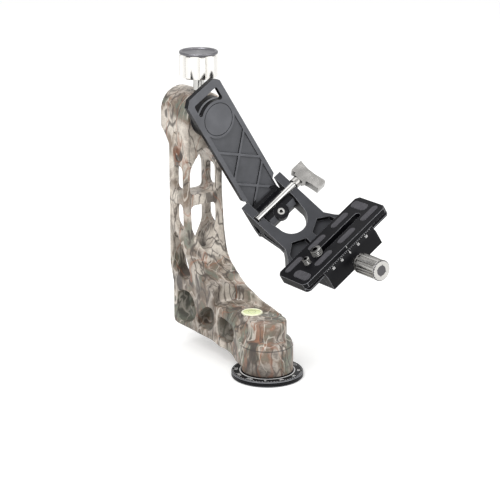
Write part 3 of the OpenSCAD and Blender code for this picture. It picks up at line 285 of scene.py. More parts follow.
def annulus(inner, outer, sides):
    """The outlines of a flat ring's pieces."""
    pieces = []
    for i in range(sides):
        a, b = math.tau * i / sides, math.tau * (i + 1) / sides
        corners = ((inner, a), (outer, a), (outer, b), (inner, b))
        pieces.append([(r * math.cos(t), r * math.sin(t)) for r, t in corners])
    return pieces


def numeral_mesh(text, height, origin, across, up, finish):
    """A number as a thin ink mesh, centred on a point of a face."""
    size_to_height, lift, thick, swell = 1.38, 0.05, 0.02, 0.05
    across, up = Vector(across).normalized(), Vector(up).normalized()
    out = across.cross(up)
    line = bpy.data.curves.new("numeral", "FONT")
    line.body = text
    line.size = height * size_to_height * MM
    line.align_x = "CENTER"
    line.align_y = "CENTER"
    line.extrude = thick * MM
    line.resolution_u = 2
    line.offset = swell * MM
    holder = bpy.data.objects.new("numeral", line)
    bpy.context.scene.collection.objects.link(holder)
    graph = bpy.context.evaluated_depsgraph_get()
    mesh = bpy.data.meshes.new_from_object(holder.evaluated_get(graph))
    bpy.data.objects.remove(holder)
    turn = Matrix((across, up, out)).transposed().to_4x4()
    mesh.transform(Matrix.Translation(origin + out * lift * MM) @ turn)
    mesh.materials.clear()
    mesh.materials.append(finish)
    return mesh


def joined(meshes, name):
    """Several meshes of one finish as one mesh."""
    work = bmesh.new()
    for mesh in meshes:
        work.from_mesh(mesh)
    whole = bpy.data.meshes.new(name)
    work.to_mesh(whole)
    work.free()
    whole.materials.append(meshes[0].materials[0])
    return whole


def assign(names, finish):
    """Gives CAD nodes a finish."""
    for name in names:
        for slot in NODES[name].material_slots:
            slot.material = finish


# Sizes and colours


def length_property(name, description, size):
    """A length, given in millimetres, that a user can change."""
    return bpy.props.FloatProperty(name=name, description=description, default=size * MM, unit="LENGTH")


def colour_property(name, description, code):
    """A colour that a user can change."""
    return bpy.props.FloatVectorProperty(
        name=name, description=description, default=linear(code), subtype="COLOR", min=0, max=1
    )


class HeadSizes(bpy.types.PropertyGroup):
    """Sizes that the CAD model leaves to the looks."""

    casting_voxel: length_property("Casting grain", "Voxel size that rounds the casting", 0.8)
    edge_break: length_property("Edge break", "Width of the broken edges of machined parts", 0.4)
    big_pitch: length_property("Large screw pitch", "Thread pitch, 16 turns to the inch", INCH / 16)
    small_pitch: length_property("Small screw pitch", "Thread pitch, 20 turns to the inch", INCH / 20)
    dial_numeral: length_property("Dial numeral", "Height of the numbers on the base disc", 2.6)
    jaw_numeral: length_property("Jaw numeral", "Height of the numbers on the jaw", 2.0)
    leaf: length_property("Leaf size", "Size of the printed leaves", 23)
    dial_turn: bpy.props.FloatProperty(
        name="Dial turn",
        description="Where the dial's zero stands, from +X",
        default=math.radians(-40),
        unit="ROTATION",
    )


class HeadColours(bpy.types.PropertyGroup):
    """Colours of the finishes."""

    bone: colour_property("Bone", "Palest tone of the leaf print", "#dbd2c6")
    stone: colour_property("Stone", "Main tone of the leaf print", "#b0a69b")
    moss: colour_property("Moss", "Grey-green tone of the leaf print", "#727769")
    taupe: colour_property("Taupe", "Brown-grey tone of the leaf print", "#7a6858")
    bark: colour_property("Bark", "Darkest tone of the leaf print", "#3c332d")
    rust: colour_property("Rust", "Dry-leaf tone of the leaf print", "#9a6345")
    bare: colour_property("Bare casting", "Unprinted paint inside the pockets", "#85877f")
    black: colour_property("Black", "Black anodised parts", "#101013")
    # Painted light: a lighter grey on the swing arm's and its cap's faces turned to +X, where the light
    # falls; the relief floors take a darker copy as painted shade.
    graphite: colour_property("Painted lit grey", "Front faces of the swing arm and its cap", "#606165")
    # Painted light: a lighter grey on the yoke's sloping front faces.
    slate: colour_property("Painted slant grey", "Sloping front faces of the yoke", "#3c3d41")
    # A painted highlight on the broken edges of anodised parts, partly rubbed wear.
    edge: colour_property("Edge", "Painted highlight and rubbed wear on edges of anodised parts", "#8c8d91")
    bright: colour_property("Bright aluminium", "Polished knobs", "#edebe7")
    cap: colour_property("Cap", "Dark turned cap of the tilt knob", "#747377")
    steel: colour_property("Steel", "Screws and spindles", "#cfcecb")
    rubber: colour_property("Rubber", "Pads on the plate", "#4a494d")
    ink: colour_property("Ink", "Scale marks", "#e9e9e8")
    liquid: colour_property("Liquid", "Spirit in the level", "#e9f3b2")
    vial: colour_property("Vial rim", "Body of the level", "#fafcdc")


# Finishes


def tone_patches(tree, colours, warped, height):
    """Two families of tone, pale bark and mossy shade, in patches about 45 mm wide."""
    print_top = 230.0
    blotch = add(
        tree, "ShaderNodeTexNoise", {"Vector": warped, "Scale": 1 / 27, "Detail": 7.0, "Roughness": 0.58}
    )
    pale = set_stops(
        add(tree, "ShaderNodeValToRGB", {0: blotch.outputs[0]}),
        (0.32, colours.taupe),
        (0.42, colours.stone),
        (0.52, colours.bone),
        (0.62, colours.stone),
        (0.74, colours.moss),
    )
    shady = set_stops(
        add(tree, "ShaderNodeValToRGB", {0: blotch.outputs[0]}),
        (0.34, colours.bark),
        (0.43, colours.moss),
        (0.50, colours.taupe),
        (0.57, colours.stone),
        (0.66, colours.bark),
    )
    patch = add(tree, "ShaderNodeTexNoise", {"Vector": warped, "Scale": 1 / 46, "Detail": 4.0}).outputs[0]
    rise = add(tree, "ShaderNodeMath", {0: height, 1: print_top}, operation="DIVIDE").outputs[0]
    rise = set_stops(
        add(tree, "ShaderNodeValToRGB", {0: rise}),
        (0.1, 0.64),
        (0.3, 0.57),
        (0.5, 0.36),
        (0.78, 0.4),
        (0.88, 0.57),
    )
    patch = add(tree, "ShaderNodeMath", {0: patch, 1: rise}, operation="ADD").outputs[0]
    patch = add(tree, "ShaderNodeMath", {0: patch, 1: 0.5}, operation="SUBTRACT").outputs[0]
    patch = set_stops(add(tree, "ShaderNodeValToRGB", {0: patch}), (0.46, 0.0), (0.56, 1.0))
    return add(
        tree, "ShaderNodeMix", {SHARE: patch, UNDER: pale, OVER: shady}, data_type="RGBA"
    ).outputs[MIXED]


def leaves_over(tree, tones, colours, warped, leaf):
    """Leaves: leaning cells a leaf long, some filled with one tone and shaded at the rim."""
    lie = add(tree, "ShaderNodeMapping", {0: warped, 2: (0.5, 0.6, 0.7), 3: (1.5, 1.0, 0.62)}).outputs[0]
    cell = add(tree, "ShaderNodeTexVoronoi", {"Vector": lie, "Scale": MM / leaf, "Randomness": 1.0})
    split = add(tree, "ShaderNodeSeparateColor", {0: cell.outputs[1]}).outputs
    tint = set_stops(
        add(tree, "ShaderNodeValToRGB", {0: split[0]}),
        (0.0, colours.rust),
        (0.2, colours.moss),
        (0.42, colours.bone),
        (0.66, colours.taupe),
        (0.9, colours.bark),
    )
    picked = set_stops(add(tree, "ShaderNodeValToRGB", {0: split[1]}), (0.52, 0.0), (0.55, 1.0))
    inside = set_stops(add(tree, "ShaderNodeValToRGB", {0: cell.outputs[0]}), (0.34, 0.85), (0.47, 0.0))
    rim = set_stops(
        add(tree, "ShaderNodeValToRGB", {0: cell.outputs[0]}), (0.1, 1.12), (0.34, 0.8), (0.44, 0.5)
    )
    tint = add(
        tree, "ShaderNodeMix", {SHARE: 1.0, UNDER: tint, OVER: rim}, data_type="RGBA", blend_type="MULTIPLY"
    ).outputs[MIXED]
    share = add(tree, "ShaderNodeMath", {0: picked, 1: inside}, operation="MULTIPLY").outputs[0]
    return add(
        tree, "ShaderNodeMix", {SHARE: share, UNDER: tones, OVER: tint}, data_type="RGBA"
    ).outputs[MIXED]


def strokes_over(tree, tones, colours, warped):
    """Bark and twigs: long strokes where a stretched noise crosses its middle value."""
    # Tone, lean in radians, millimetres across and along a stroke, and its width and strength.
    for tone, turn, across, along, width, strength in (
        (colours.bark, (0.1, 0.15, 0.3), 17, 95, 0.02, 0.75),
        (colours.bark, (0.5, 0.7, 1.1), 22, 90, 0.013, 0.7),
        (colours.bone, (-0.7, 0.9, 0.2), 20, 110, 0.01, 0.7),
        (colours.bone, (0.2, -0.6, 0.9), 27, 90, 0.009, 0.6),
        (colours.bark, (1.2, -0.4, 0.1), 30, 120, 0.012, 0.8),
        (colours.rust, (0.9, 0.4, 0.5), 26, 70, 0.012, 0.5),
    ):
        lie = add(
            tree, "ShaderNodeMapping", {0: warped, 2: turn, 3: (1 / across, 1 / across, 1 / along)}
        ).outputs[0]
        line = add(tree, "ShaderNodeTexNoise", {"Vector": lie, "Scale": 1.0, "Detail": 2.0}).outputs[0]
        line = add(tree, "ShaderNodeMath", {0: line, 1: 0.5}, operation="SUBTRACT").outputs[0]
        line = add(tree, "ShaderNodeMath", {0: line}, operation="ABSOLUTE").outputs[0]
        line = set_stops(add(tree, "ShaderNodeValToRGB", {0: line}), (width / 3, strength), (width, 0.0))
        tones = add(
            tree, "ShaderNodeMix", {SHARE: line, UNDER: tones, OVER: opaque(tone)}, data_type="RGBA"
        ).outputs[MIXED]
    return tones


def shade_over(tree, tones, colours, warped, height):
    """The foot is darker and busier than the calm, pale column."""
    gloom = add(tree, "ShaderNodeTexNoise", {"Vector": warped, "Scale": 1 / 34, "Detail": 5.0}).outputs[0]
    gloom = set_stops(add(tree, "ShaderNodeValToRGB", {0: gloom}), (0.46, 0.0), (0.62, 1.0))
    low = add(tree, "ShaderNodeMapRange", {0: height, 1: 45.0, 2: 110.0, 3: 0.5, 4: 0.12}).outputs[0]
    gloom = add(tree, "ShaderNodeMath", {0: gloom, 1: low}, operation="MULTIPLY").outputs[0]
    return add(
        tree, "ShaderNodeMix", {SHARE: gloom, UNDER: tones, OVER: opaque(colours.bark)}, data_type="RGBA"
    ).outputs[MIXED]


def bare_pockets(tree, tones, colours, axes):
    """The print stops at the mouths of the pockets, which keep plain paint."""
    mouth, inside, strength = 15.6, 14.4, 0.38
    depth = add(tree, "ShaderNodeMath", {0: axes[1]}, operation="ABSOLUTE").outputs[0]
    deep = add(tree, "ShaderNodeMapRange", {0: depth, 1: mouth, 2: inside}).outputs[0]
    plain = None
    for x, z, reach in POCKETS:
        place = add(tree, "ShaderNodeCombineXYZ", {0: axes[0], 2: axes[2]}).outputs[0]
        far = add(
            tree, "ShaderNodeVectorMath", {0: place, 1: (x, 0, z)}, operation="DISTANCE"
        ).outputs["Value"]
        near = add(tree, "ShaderNodeMapRange", {0: far, 1: reach + 0.5, 2: reach - 0.5}).outputs[0]
        if plain:
            near = add(tree, "ShaderNodeMath", {0: plain, 1: near}, operation="MAXIMUM").outputs[0]
        plain = near
    plain = add(tree, "ShaderNodeMath", {0: plain, 1: deep}, operation="MULTIPLY").outputs[0]
    plain = add(tree, "ShaderNodeMath", {0: plain, 1: strength}, operation="MULTIPLY").outputs[0]
    return add(
        tree, "ShaderNodeMix", {SHARE: plain, UNDER: tones, OVER: opaque(colours.bare)}, data_type="RGBA"
    ).outputs[MIXED]


def drum_seam(tree, tones, axes):
    """A dark line painted where the body meets the top of the drum: painted shade in that corner."""
    drum_top, reach, strength = 27.8, 22.5, 0.75
    seam_shade = opaque(linear("#2a2622"))
    rise = add(tree, "ShaderNodeMath", {0: axes[2], 1: drum_top}, operation="SUBTRACT").outputs[0]
    rise = add(tree, "ShaderNodeMath", {0: rise}, operation="ABSOLUTE").outputs[0]
    seam = add(tree, "ShaderNodeMapRange", {0: rise, 1: 0.7, 2: 0.25}).outputs[0]
    flat_spot = add(tree, "ShaderNodeCombineXYZ", {0: axes[0], 1: axes[1]}).outputs[0]
    radius = add(tree, "ShaderNodeVectorMath", {0: flat_spot}, operation="LENGTH").outputs["Value"]
    ring = add(tree, "ShaderNodeMapRange", {0: radius, 1: reach, 2: reach - 0.6}).outputs[0]
    seam = add(tree, "ShaderNodeMath", {0: seam, 1: ring}, operation="MULTIPLY").outputs[0]
    seam = add(tree, "ShaderNodeMath", {0: seam, 1: strength}, operation="MULTIPLY").outputs[0]
    return add(
        tree, "ShaderNodeMix", {SHARE: seam, UNDER: tones, OVER: seam_shade}, data_type="RGBA"
    ).outputs[MIXED]


def printed_casting(colours, leaf):
    """Die-cast aluminium under a water-transfer leaf print and satin lacquer.

    The eye sees soft overlapping tones of bark and dry leaves, thin twigs, and a dull sheen.
    """
    coat = {"Coat Weight": 0.25, "Coat Roughness": 0.35, "IOR": 1.5}
    finish, tree, shader, spot = new_finish("Printed casting", colours.stone, 0.0, 0.5, **coat)
    axes = add(tree, "ShaderNodeSeparateXYZ", {0: spot}).outputs
    drift = add(tree, "ShaderNodeTexNoise", {"Vector": spot, "Scale": 1 / 30, "Detail": 3.0}).outputs["Color"]
    drift = add(
        tree, "ShaderNodeVectorMath", {0: drift, 1: (15,) * 3, 2: (-7.5,) * 3}, operation="MULTIPLY_ADD"
    )
    warped = add(tree, "ShaderNodeVectorMath", {0: spot, 1: drift.outputs[0]}, operation="ADD").outputs[0]
    tones = tone_patches(tree, colours, warped, axes[2])
    tones = leaves_over(tree, tones, colours, warped, leaf)
    tones = strokes_over(tree, tones, colours, warped)
    tones = shade_over(tree, tones, colours, warped, axes[2])

    # Fine grain of the print, a millimetre across so that it shows at all.
    grain = add(tree, "ShaderNodeTexNoise", {"Vector": spot, "Scale": 1 / 1.1, "Detail": 3.0}).outputs[0]
    grain_tone = set_stops(add(tree, "ShaderNodeValToRGB", {0: grain}), (0.3, 0.84), (0.7, 1.1))
    grained = {SHARE: 1.0, UNDER: tones, OVER: grain_tone}
    tones = add(tree, "ShaderNodeMix", grained, data_type="RGBA", blend_type="MULTIPLY").outputs[MIXED]
    tones = bare_pockets(tree, tones, colours, axes)
    tones = drum_seam(tree, tones, axes)
    tree.links.new(tones, shader.inputs["Base Color"])

    # Orange peel of sprayed lacquer, 2 mm waves a few hundredths deep.
    peel = add(tree, "ShaderNodeTexNoise", {"Vector": spot, "Scale": 1 / 2.2, "Detail": 2.0}).outputs[0]
    bump = add(tree, "ShaderNodeBump", {"Height": peel, "Strength": 0.35, "Distance": 0.06 * MM})
    tree.links.new(bump.outputs[0], shader.inputs["Normal"])
    worn = add(tree, "ShaderNodeMapRange", {0: grain, 1: 0.3, 2: 0.7, 3: 0.42, 4: 0.6}).outputs[0]
    tree.links.new(worn, shader.inputs["Roughness"])
    return finish


def anodised(name, colour, roughness, level):
    """Bead-blasted and anodised aluminium: a dull, fine-grained skin that lets only a little light back."""
    finish, tree, shader, spot = new_finish(name, colour, 0.0, roughness, **{"Specular IOR Level": level})
    cloud = add(tree, "ShaderNodeTexNoise", {"Vector": spot, "Scale": 1 / 14, "Detail": 4.0}).outputs[0]
    shade = set_stops(
        add(tree, "ShaderNodeValToRGB", {0: cloud}),
        (0.3, [c * 0.86 for c in colour]),
        (0.7, [min(1.0, c * 1.14) for c in colour]),
    )
    tree.links.new(shade, shader.inputs["Base Color"])
    # Blasting grit of 0.1 mm, drawn at half a millimetre so that it shows.
    grit = add(tree, "ShaderNodeTexNoise", {"Vector": spot, "Scale": 1 / 0.5, "Detail": 2.0}).outputs[0]
    bump = add(tree, "ShaderNodeBump", {"Height": grit, "Strength": 0.3, "Distance": 0.02 * MM})
    tree.links.new(bump.outputs[0], shader.inputs["Normal"])
    dull = add(
        tree, "ShaderNodeMapRange", {0: cloud, 1: 0.3, 2: 0.7, 3: roughness - 0.05, 4: roughness + 0.07}
    )
    tree.links.new(dull.outputs[0], shader.inputs["Roughness"])
    return finish


def turned_metal(name, colour, roughness, lines_along, anisotropic=0.5, painted_shade=None):
    """Turned and polished metal: tool lines a third of a millimetre apart streak its highlights.

    painted_shade holds the stops of a painted shade that darkens its flutes, threads and corners by how
    closed in they are, from closed in (0) to open (1).
    """
    pitch, depth = 0.35, 0.012
    finish, tree, shader, spot = new_finish(name, colour, 1.0, roughness, **{"Anisotropic": anisotropic})
    away = add(
        tree, "ShaderNodeVectorMath", {0: spot, 1: lines_along}, operation="DOT_PRODUCT"
    ).outputs["Value"]
    beat = add(
        tree, "ShaderNodeTexNoise", {"W": away, "Scale": 1 / pitch, "Detail": 3.0}, noise_dimensions="1D"
    )
    bump = add(tree, "ShaderNodeBump", {"Height": beat.outputs[0], "Strength": 0.4, "Distance": depth * MM})
    tree.links.new(bump.outputs[0], shader.inputs["Normal"])
    rub = add(tree, "ShaderNodeTexNoise", {"Vector": spot, "Scale": 1 / 6, "Detail": 4.0}).outputs[0]
    dull = add(tree, "ShaderNodeMapRange", {0: rub, 1: 0.3, 2: 0.7, 3: roughness * 0.8, 4: roughness * 1.3})
    tree.links.new(dull.outputs[0], shader.inputs["Roughness"])
    shade = set_stops(
        add(tree, "ShaderNodeValToRGB", {0: rub}),
        (0.3, [c * 0.93 for c in colour]),
        (0.7, [min(1.0, c * 1.03) for c in colour]),
    )
    if painted_shade:
        # Painted shade: the piece's own ambient occlusion darkens the base colour where it is closed in.
        hollow = add(tree, "ShaderNodeAmbientOcclusion", {"Distance": 4 * MM}, samples=8, only_local=True)
        dim = set_stops(add(tree, "ShaderNodeValToRGB", {0: hollow.outputs["AO"]}), *painted_shade)
        dimmed = {SHARE: 1.0, UNDER: shade, OVER: dim}
        shade = add(tree, "ShaderNodeMix", dimmed, data_type="RGBA", blend_type="MULTIPLY").outputs[MIXED]
    tree.links.new(shade, shader.inputs["Base Color"])
    return finish


def ribbed_rubber(colour, across):
    """Moulded nitrile rubber: matt, with fine ribs 1.2 mm apart, bumped, and with a painted highlight on
    their crests and painted shade between them.
    """
    rib_pitch = 1.2
    finish, tree, shader, spot = new_finish("Ribbed rubber", colour, 0.0, 0.78, **{"Specular IOR Level": 0.3})
    place = add(tree, "ShaderNodeVectorMath", {0: spot, 1: across}, operation="DOT_PRODUCT").outputs["Value"]
    turn = add(tree, "ShaderNodeMath", {0: place, 1: math.tau / rib_pitch}, operation="MULTIPLY").outputs[0]
    rib = add(tree, "ShaderNodeMath", {0: turn}, operation="SINE").outputs[0]
    # Painted highlight and shade: the colour is lighter on the rib crests and darker between them.
    shade = add(tree, "ShaderNodeMapRange", {0: rib, 1: -1.0, 2: 1.0, 3: 0.35, 4: 0.65}).outputs[0]
    dust = add(tree, "ShaderNodeTexNoise", {"Vector": spot, "Scale": 1 / 3, "Detail": 5.0}).outputs[0]
    both = add(tree, "ShaderNodeMath", {0: shade, 1: dust}, operation="ADD").outputs[0]
    both = add(tree, "ShaderNodeMath", {0: both, 1: 0.5}, operation="MULTIPLY").outputs[0]
    tone = set_stops(
        add(tree, "ShaderNodeValToRGB", {0: both}),
        (0.35, [c * 0.72 for c in colour]),
        (0.65, [c * 1.25 for c in colour]),
    )
    tree.links.new(tone, shader.inputs["Base Color"])
    bump = add(tree, "ShaderNodeBump", {"Height": rib, "Strength": 0.5, "Distance": 0.08 * MM})
    tree.links.new(bump.outputs[0], shader.inputs["Normal"])
    return finish


def screen_ink(colour):
    """Laser-etched white of a scale: flat, slightly broken where the grit shows through."""
    finish, tree, shader, spot = new_finish("Etched white", colour, 0.0, 0.7)
    speck = add(tree, "ShaderNodeTexNoise", {"Vector": spot, "Scale": 1 / 0.6, "Detail": 2.0}).outputs[0]
    tone = set_stops(
        add(tree, "ShaderNodeValToRGB", {0: speck}), (0.3, [c * 0.7 for c in colour]), (0.55, list(colour))
    )
    tree.links.new(tone, shader.inputs["Base Color"])
    return finish


def spirit(name, colour, roughness):
    """Tinted spirit behind acrylic: a glossy, faintly cloudy yellow-green."""
    finish, tree, shader, spot = new_finish(name, colour, 0.0, roughness, **{"IOR": 1.49, "Coat Weight": 0.4})
    cloud = add(tree, "ShaderNodeTexNoise", {"Vector": spot, "Scale": 1 / 4, "Detail": 2.0}).outputs[0]
    tone = set_stops(
        add(tree, "ShaderNodeValToRGB", {0: cloud}),
        (0.3, [c * 0.92 for c in colour]),
        (0.7, [min(1.0, c * 1.05) for c in colour]),
    )
    tree.links.new(tone, shader.inputs["Base Color"])
    return finish


FINISHES = {}
# Painted shade in the hollows of polished metal: how dark it is where it is closed in (0) and where it lies
# open (1).
STRONG_PAINTED_SHADE = ((0.55, 0.12), (0.94, 0.86))
MILD_PAINTED_SHADE = ((0.5, 0.35), (0.94, 0.96))


def finish_of(name):
    """A finish by its short name, made the first time it is asked for."""
    if name in FINISHES:
        return FINISHES[name]
    colours = bpy.context.scene.head_colours
    sizes = bpy.context.scene.head_sizes
    tilt = Vector(JOINTS["tilt_turn"]["axis"])
    along = tuple(ALONG_PLATE)
    made = {
        "casting": lambda: printed_casting(colours, sizes.leaf),
        "black": lambda: anodised("Black anodised aluminium", colours.black, 0.42, 0.12),
        # Lighter grey on faces turned to +X: painted light.
        "graphite": lambda: anodised("Graphite anodised aluminium", colours.graphite, 0.5, 0.2),
        # Lighter grey on the yoke's sloping faces: painted light.
        "slate": lambda: anodised("Slate anodised aluminium", colours.slate, 0.45, 0.25),
        # A darker copy of it on the relief floors: painted shade.
        "relief": lambda: anodised("Milled relief, painted shade", [c * 0.8 for c in colours.graphite], 0.5, 0.2),
        # Lighter broken edges: a painted highlight, partly rubbed wear.
        "edge": lambda: anodised("Painted edge highlight and rubbed wear", colours.edge, 0.35, 0.6),
        "knob": lambda: turned_metal(
            "Polished aluminium", colours.bright, 0.2, tuple(UP), painted_shade=MILD_PAINTED_SHADE
        ),
        # The side knobs take a darker copy of the polished aluminium: painted shade.
        "side_knob": lambda: turned_metal(
            "Polished aluminium knob",
            [c * 0.75 for c in colours.bright],
            0.24,
            tuple(tilt),
            painted_shade=STRONG_PAINTED_SHADE,
        ),
        "cap": lambda: turned_metal("Turned dark aluminium", colours.cap, 0.34, tuple(ALONG_X)),
        # The wing nut's aluminium is painted darker than the knobs': painted shade.
        "wing": lambda: turned_metal(
            "Forged and polished aluminium", linear("#a9a7a4"), 0.25, tuple(tilt), painted_shade=STRONG_PAINTED_SHADE
        ),
        "stud": lambda: turned_metal(
            "Nickelled screw", linear("#8d8c8a"), 0.22, tuple(UP), painted_shade=STRONG_PAINTED_SHADE
        ),
        # A dark copy of the knob's metal for its dished end: painted shade in the dish.
        "dish": lambda: turned_metal("Turned end of a knob", linear("#5a595b"), 0.3, tuple(tilt)),
        "rod": lambda: turned_metal(
            "Ground steel rod", linear("#bdbcba"), 0.18, along, anisotropic=0.7, painted_shade=MILD_PAINTED_SHADE
        ),
        "steel": lambda: turned_metal("Polished steel", colours.steel, 0.2, tuple(UP), painted_shade=STRONG_PAINTED_SHADE),
        "spring": lambda: turned_metal("Spring steel", linear("#6b6c6e"), 0.35, tuple(UP)),
        "bearing": lambda: turned_metal("Bearing steel", linear("#c9cacc"), 0.15, tuple(UP)),
        "oxide": lambda: anodised("Black oxide steel", linear("#1d1d20"), 0.38, 0.5),
        "brass": lambda: turned_metal("Brass", linear("#c9a45a"), 0.3, tuple(UP)),
        "rubber": lambda: ribbed_rubber(colours.rubber, along),
        "ink": lambda: screen_ink(colours.ink),
        "liquid": lambda: spirit("Level spirit", colours.liquid, 0.12),
        "vial": lambda: spirit("Level body", colours.vial, 0.3),
    }
    FINISHES[name] = made[name]()
    return FINISHES[name]


# Pieces


class HEAD_OT_casting(bpy.types.Operator):
    """Makes the cast arm with its foot, drum and round housing"""

    bl_idname = "head.casting"
    bl_label = "Cast arm"

    def execute(self, context):
        grain = context.scene.head_sizes.casting_voxel
        steps = [
            ("REMESH", {"mode": "VOXEL", "voxel_size": grain, "use_smooth_shade": True}),
            ("SMOOTH", {"factor": 0.5, "iterations": 3}),
            ("DECIMATE", {"ratio": 0.4}),
        ]
        mesh = applied(clean_mesh("arm"), steps)
        mesh.materials.clear()
        mesh.materials.append(finish_of("casting"))
        mesh.polygons.foreach_set("use_smooth", [True] * len(mesh.polygons))
        link("arm_casting", mesh, "pan", "printed_casting", "arm")
        return {"FINISHED"}


class HEAD_OT_arms(bpy.types.Operator):
    """Makes the swing arm, its cap, the tilt hub and the end cap"""

    bl_idname = "head.arms"
    bl_label = "Swing arm and hub"

    def execute(self, context):
        width = context.scene.head_sizes.edge_break
        skins = [finish_of("black"), finish_of("edge"), finish_of("graphite"), finish_of("relief")]
        relief_depth = 0.6
        floor_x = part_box("swing_cap")[1].x - relief_depth * MM

        # Faces turned to +X get the painted lit grey, and the relief floors among them its darker copy,
        # painted shade.
        def front(face):
            if face.normal.dot(ALONG_X) < 0.97:
                return 0
            return 2 if face.center.x > floor_x else 3

        bevelled("swing_arm", "tilt", "black_anodised", skins, width, front)
        rimmed = [finish_of("black"), finish_of("black"), finish_of("graphite"), finish_of("relief")]
        bevelled("swing_cap", "tilt", "black_anodised", rimmed, width, front)
        bevelled("tilt_hub", "tilt", "black_anodised", skins[:2], width)
        bevelled("tilt_end_cap", "pan", "black_anodised", skins[:2], width)
        return {"FINISHED"}


class HEAD_OT_yoke(bpy.types.Operator):
    """Makes the folding yoke with its hinge rod and set screw"""

    bl_idname = "head.yoke"
    bl_label = "Yoke"

    def execute(self, context):
        width = context.scene.head_sizes.edge_break
        skins = [finish_of("black"), finish_of("edge"), finish_of("slate")]
        slant = (ALONG_X - DOWN_ARM).normalized()

        # The sloping front faces get the painted slant grey: painted light.
        def front(face):
            return 2 if face.normal.dot(slant) > 0.97 else 0

        bevelled("yoke", "yoke_frame", "black_anodised", skins, width, front)
        bevelled("hinge_rod", "tilt", "bright_screw", [finish_of("rod")] * 2, width)
        bevelled("rod_set_screw", "tilt", "bright_screw", [finish_of("steel")] * 2, width * 0.5)
        return {"FINISHED"}


class HEAD_OT_clamp(bpy.types.Operator):
    """Makes the quick release clamp and its moving jaw"""

    bl_idname = "head.clamp"
    bl_label = "Clamp"

    def execute(self, context):
        width = context.scene.head_sizes.edge_break
        skins = [finish_of("black"), finish_of("edge")]
        bevelled("clamp_body", "yoke_frame", "black_anodised", skins, width)
        bevelled("movable_jaw", "jaw", "black_anodised", skins, width)
        return {"FINISHED"}


class HEAD_OT_plate(bpy.types.Operator):
    """Makes the sliding plate with its rubber pads"""

    bl_idname = "head.plate"
    bl_label = "Plate"

    def execute(self, context):
        width = context.scene.head_sizes.edge_break
        skins = [finish_of("black"), finish_of("edge")]
        bevelled("qr_plate", "plate", "black_anodised", skins, width)
        bevelled("plate_pads", "plate", "pad_rubber", [finish_of("rubber")] * 2, width * 0.5)
        return {"FINISHED"}


class HEAD_OT_camera_screws(bpy.types.Operator):
    """Makes the two camera screws with their real threads"""

    bl_idname = "head.camera_screws"
    bl_label = "Camera screws"

    def execute(self, context):
        sizes = context.scene.head_sizes
        self.screw("camera_screw", "big_screw", 4.75, sizes.big_pitch / MM, -17)
        self.screw("lens_screw", "small_screw", 3.175, sizes.small_pitch / MM, -29)
        return {"FINISHED"}

    def screw(self, node, body, radius, pitch, place):
        """One screw: a round head, a neck, and a thread that stands out of the plate."""
        under, lift, thread, head = 8.3, 0.3, 5.2, 2.6
        run_in, run_out, fade, steps = 0.2, 0.3, 0.6, 34
        start = under + lift
        top = start + thread
        depth = pitch * 0.54
        socket = radius * 0.5
        neck = radius * 0.8

        def wave(height, turn, r):
            if r < radius * 0.62:
                sixth = (turn * 6) % 1 / 6 * math.tau - math.pi / 6
                return r * math.cos(math.pi / 6) / math.cos(sixth)
            if not start + run_in < height < top - run_out or abs(r - radius) > 0.01:
                return r
            phase = (height / pitch - turn) % 1
            ends = min(1, (height - start - run_in) / fade, (top - run_out - height) / fade)
            return r - depth * abs(phase * 2 - 1) * ends

        rings = [(socket, head / 2), (socket, 0.0), (radius + 1.3, 0.0), (radius + 1.6, 0.3)]
        rings += [(radius + 1.6, head - 0.3), (radius + 1.3, head), (neck, head)]
        rings += [(neck, start), (radius * 0.9, start), (radius, start + run_in)]
        turns = thread - run_in - run_out
        rings += [(radius, start + run_in + turns * i / steps) for i in range(1, steps + 1)]
        rings += [(radius - 0.5, top), (socket, top), (socket, top - head)]
        axis = JOINTS[node + "_turn"]["axis"]
        mesh = turned(rings, 48, swing(SLOT_X, place, PLATE_FACE + under), axis, finish_of("stud"), wave)
        link(node + "_threaded", mesh, body, "bright_screw", node)


class HEAD_OT_knobs(bpy.types.Operator):
    """Makes the lock knobs, the wing nut and the clamp knob"""

    bl_idname = "head.knobs"
    bl_label = "Knobs"

    def execute(self, context):
        width = context.scene.head_sizes.edge_break
        bright = [finish_of("knob")] * 2
        side = [finish_of("side_knob")] * 2
        bevelled("tilt_lock_knob", "tilt_lock", "bright_aluminium", bright, width)
        bevelled("tilt_knob_cap", "tilt_lock", "turned_aluminium", [finish_of("cap")] * 2, width)
        bevelled("tilt_lock_screw", "tilt_lock", "bright_screw", [finish_of("steel")] * 2, width)
        bevelled("wing_nut", "wing", "bright_aluminium", [finish_of("wing")] * 2, width * 5)
        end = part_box("clamp_knob")[1].x

        # Faces in the dished end take the dark dish finish: painted shade.
        def dish(face):
            sunk = end - 3 * MM < face.center.x < end - 0.3 * MM
            return 2 if face.normal.x > 0.7 and sunk else 0

        bevelled("clamp_knob", "jaw_knob", "bright_aluminium", side + [finish_of("dish")], width * 0.8, dish)
        bevelled("pan_lock_knob", "pan_lock", "bright_aluminium", side, width)
        return {"FINISHED"}


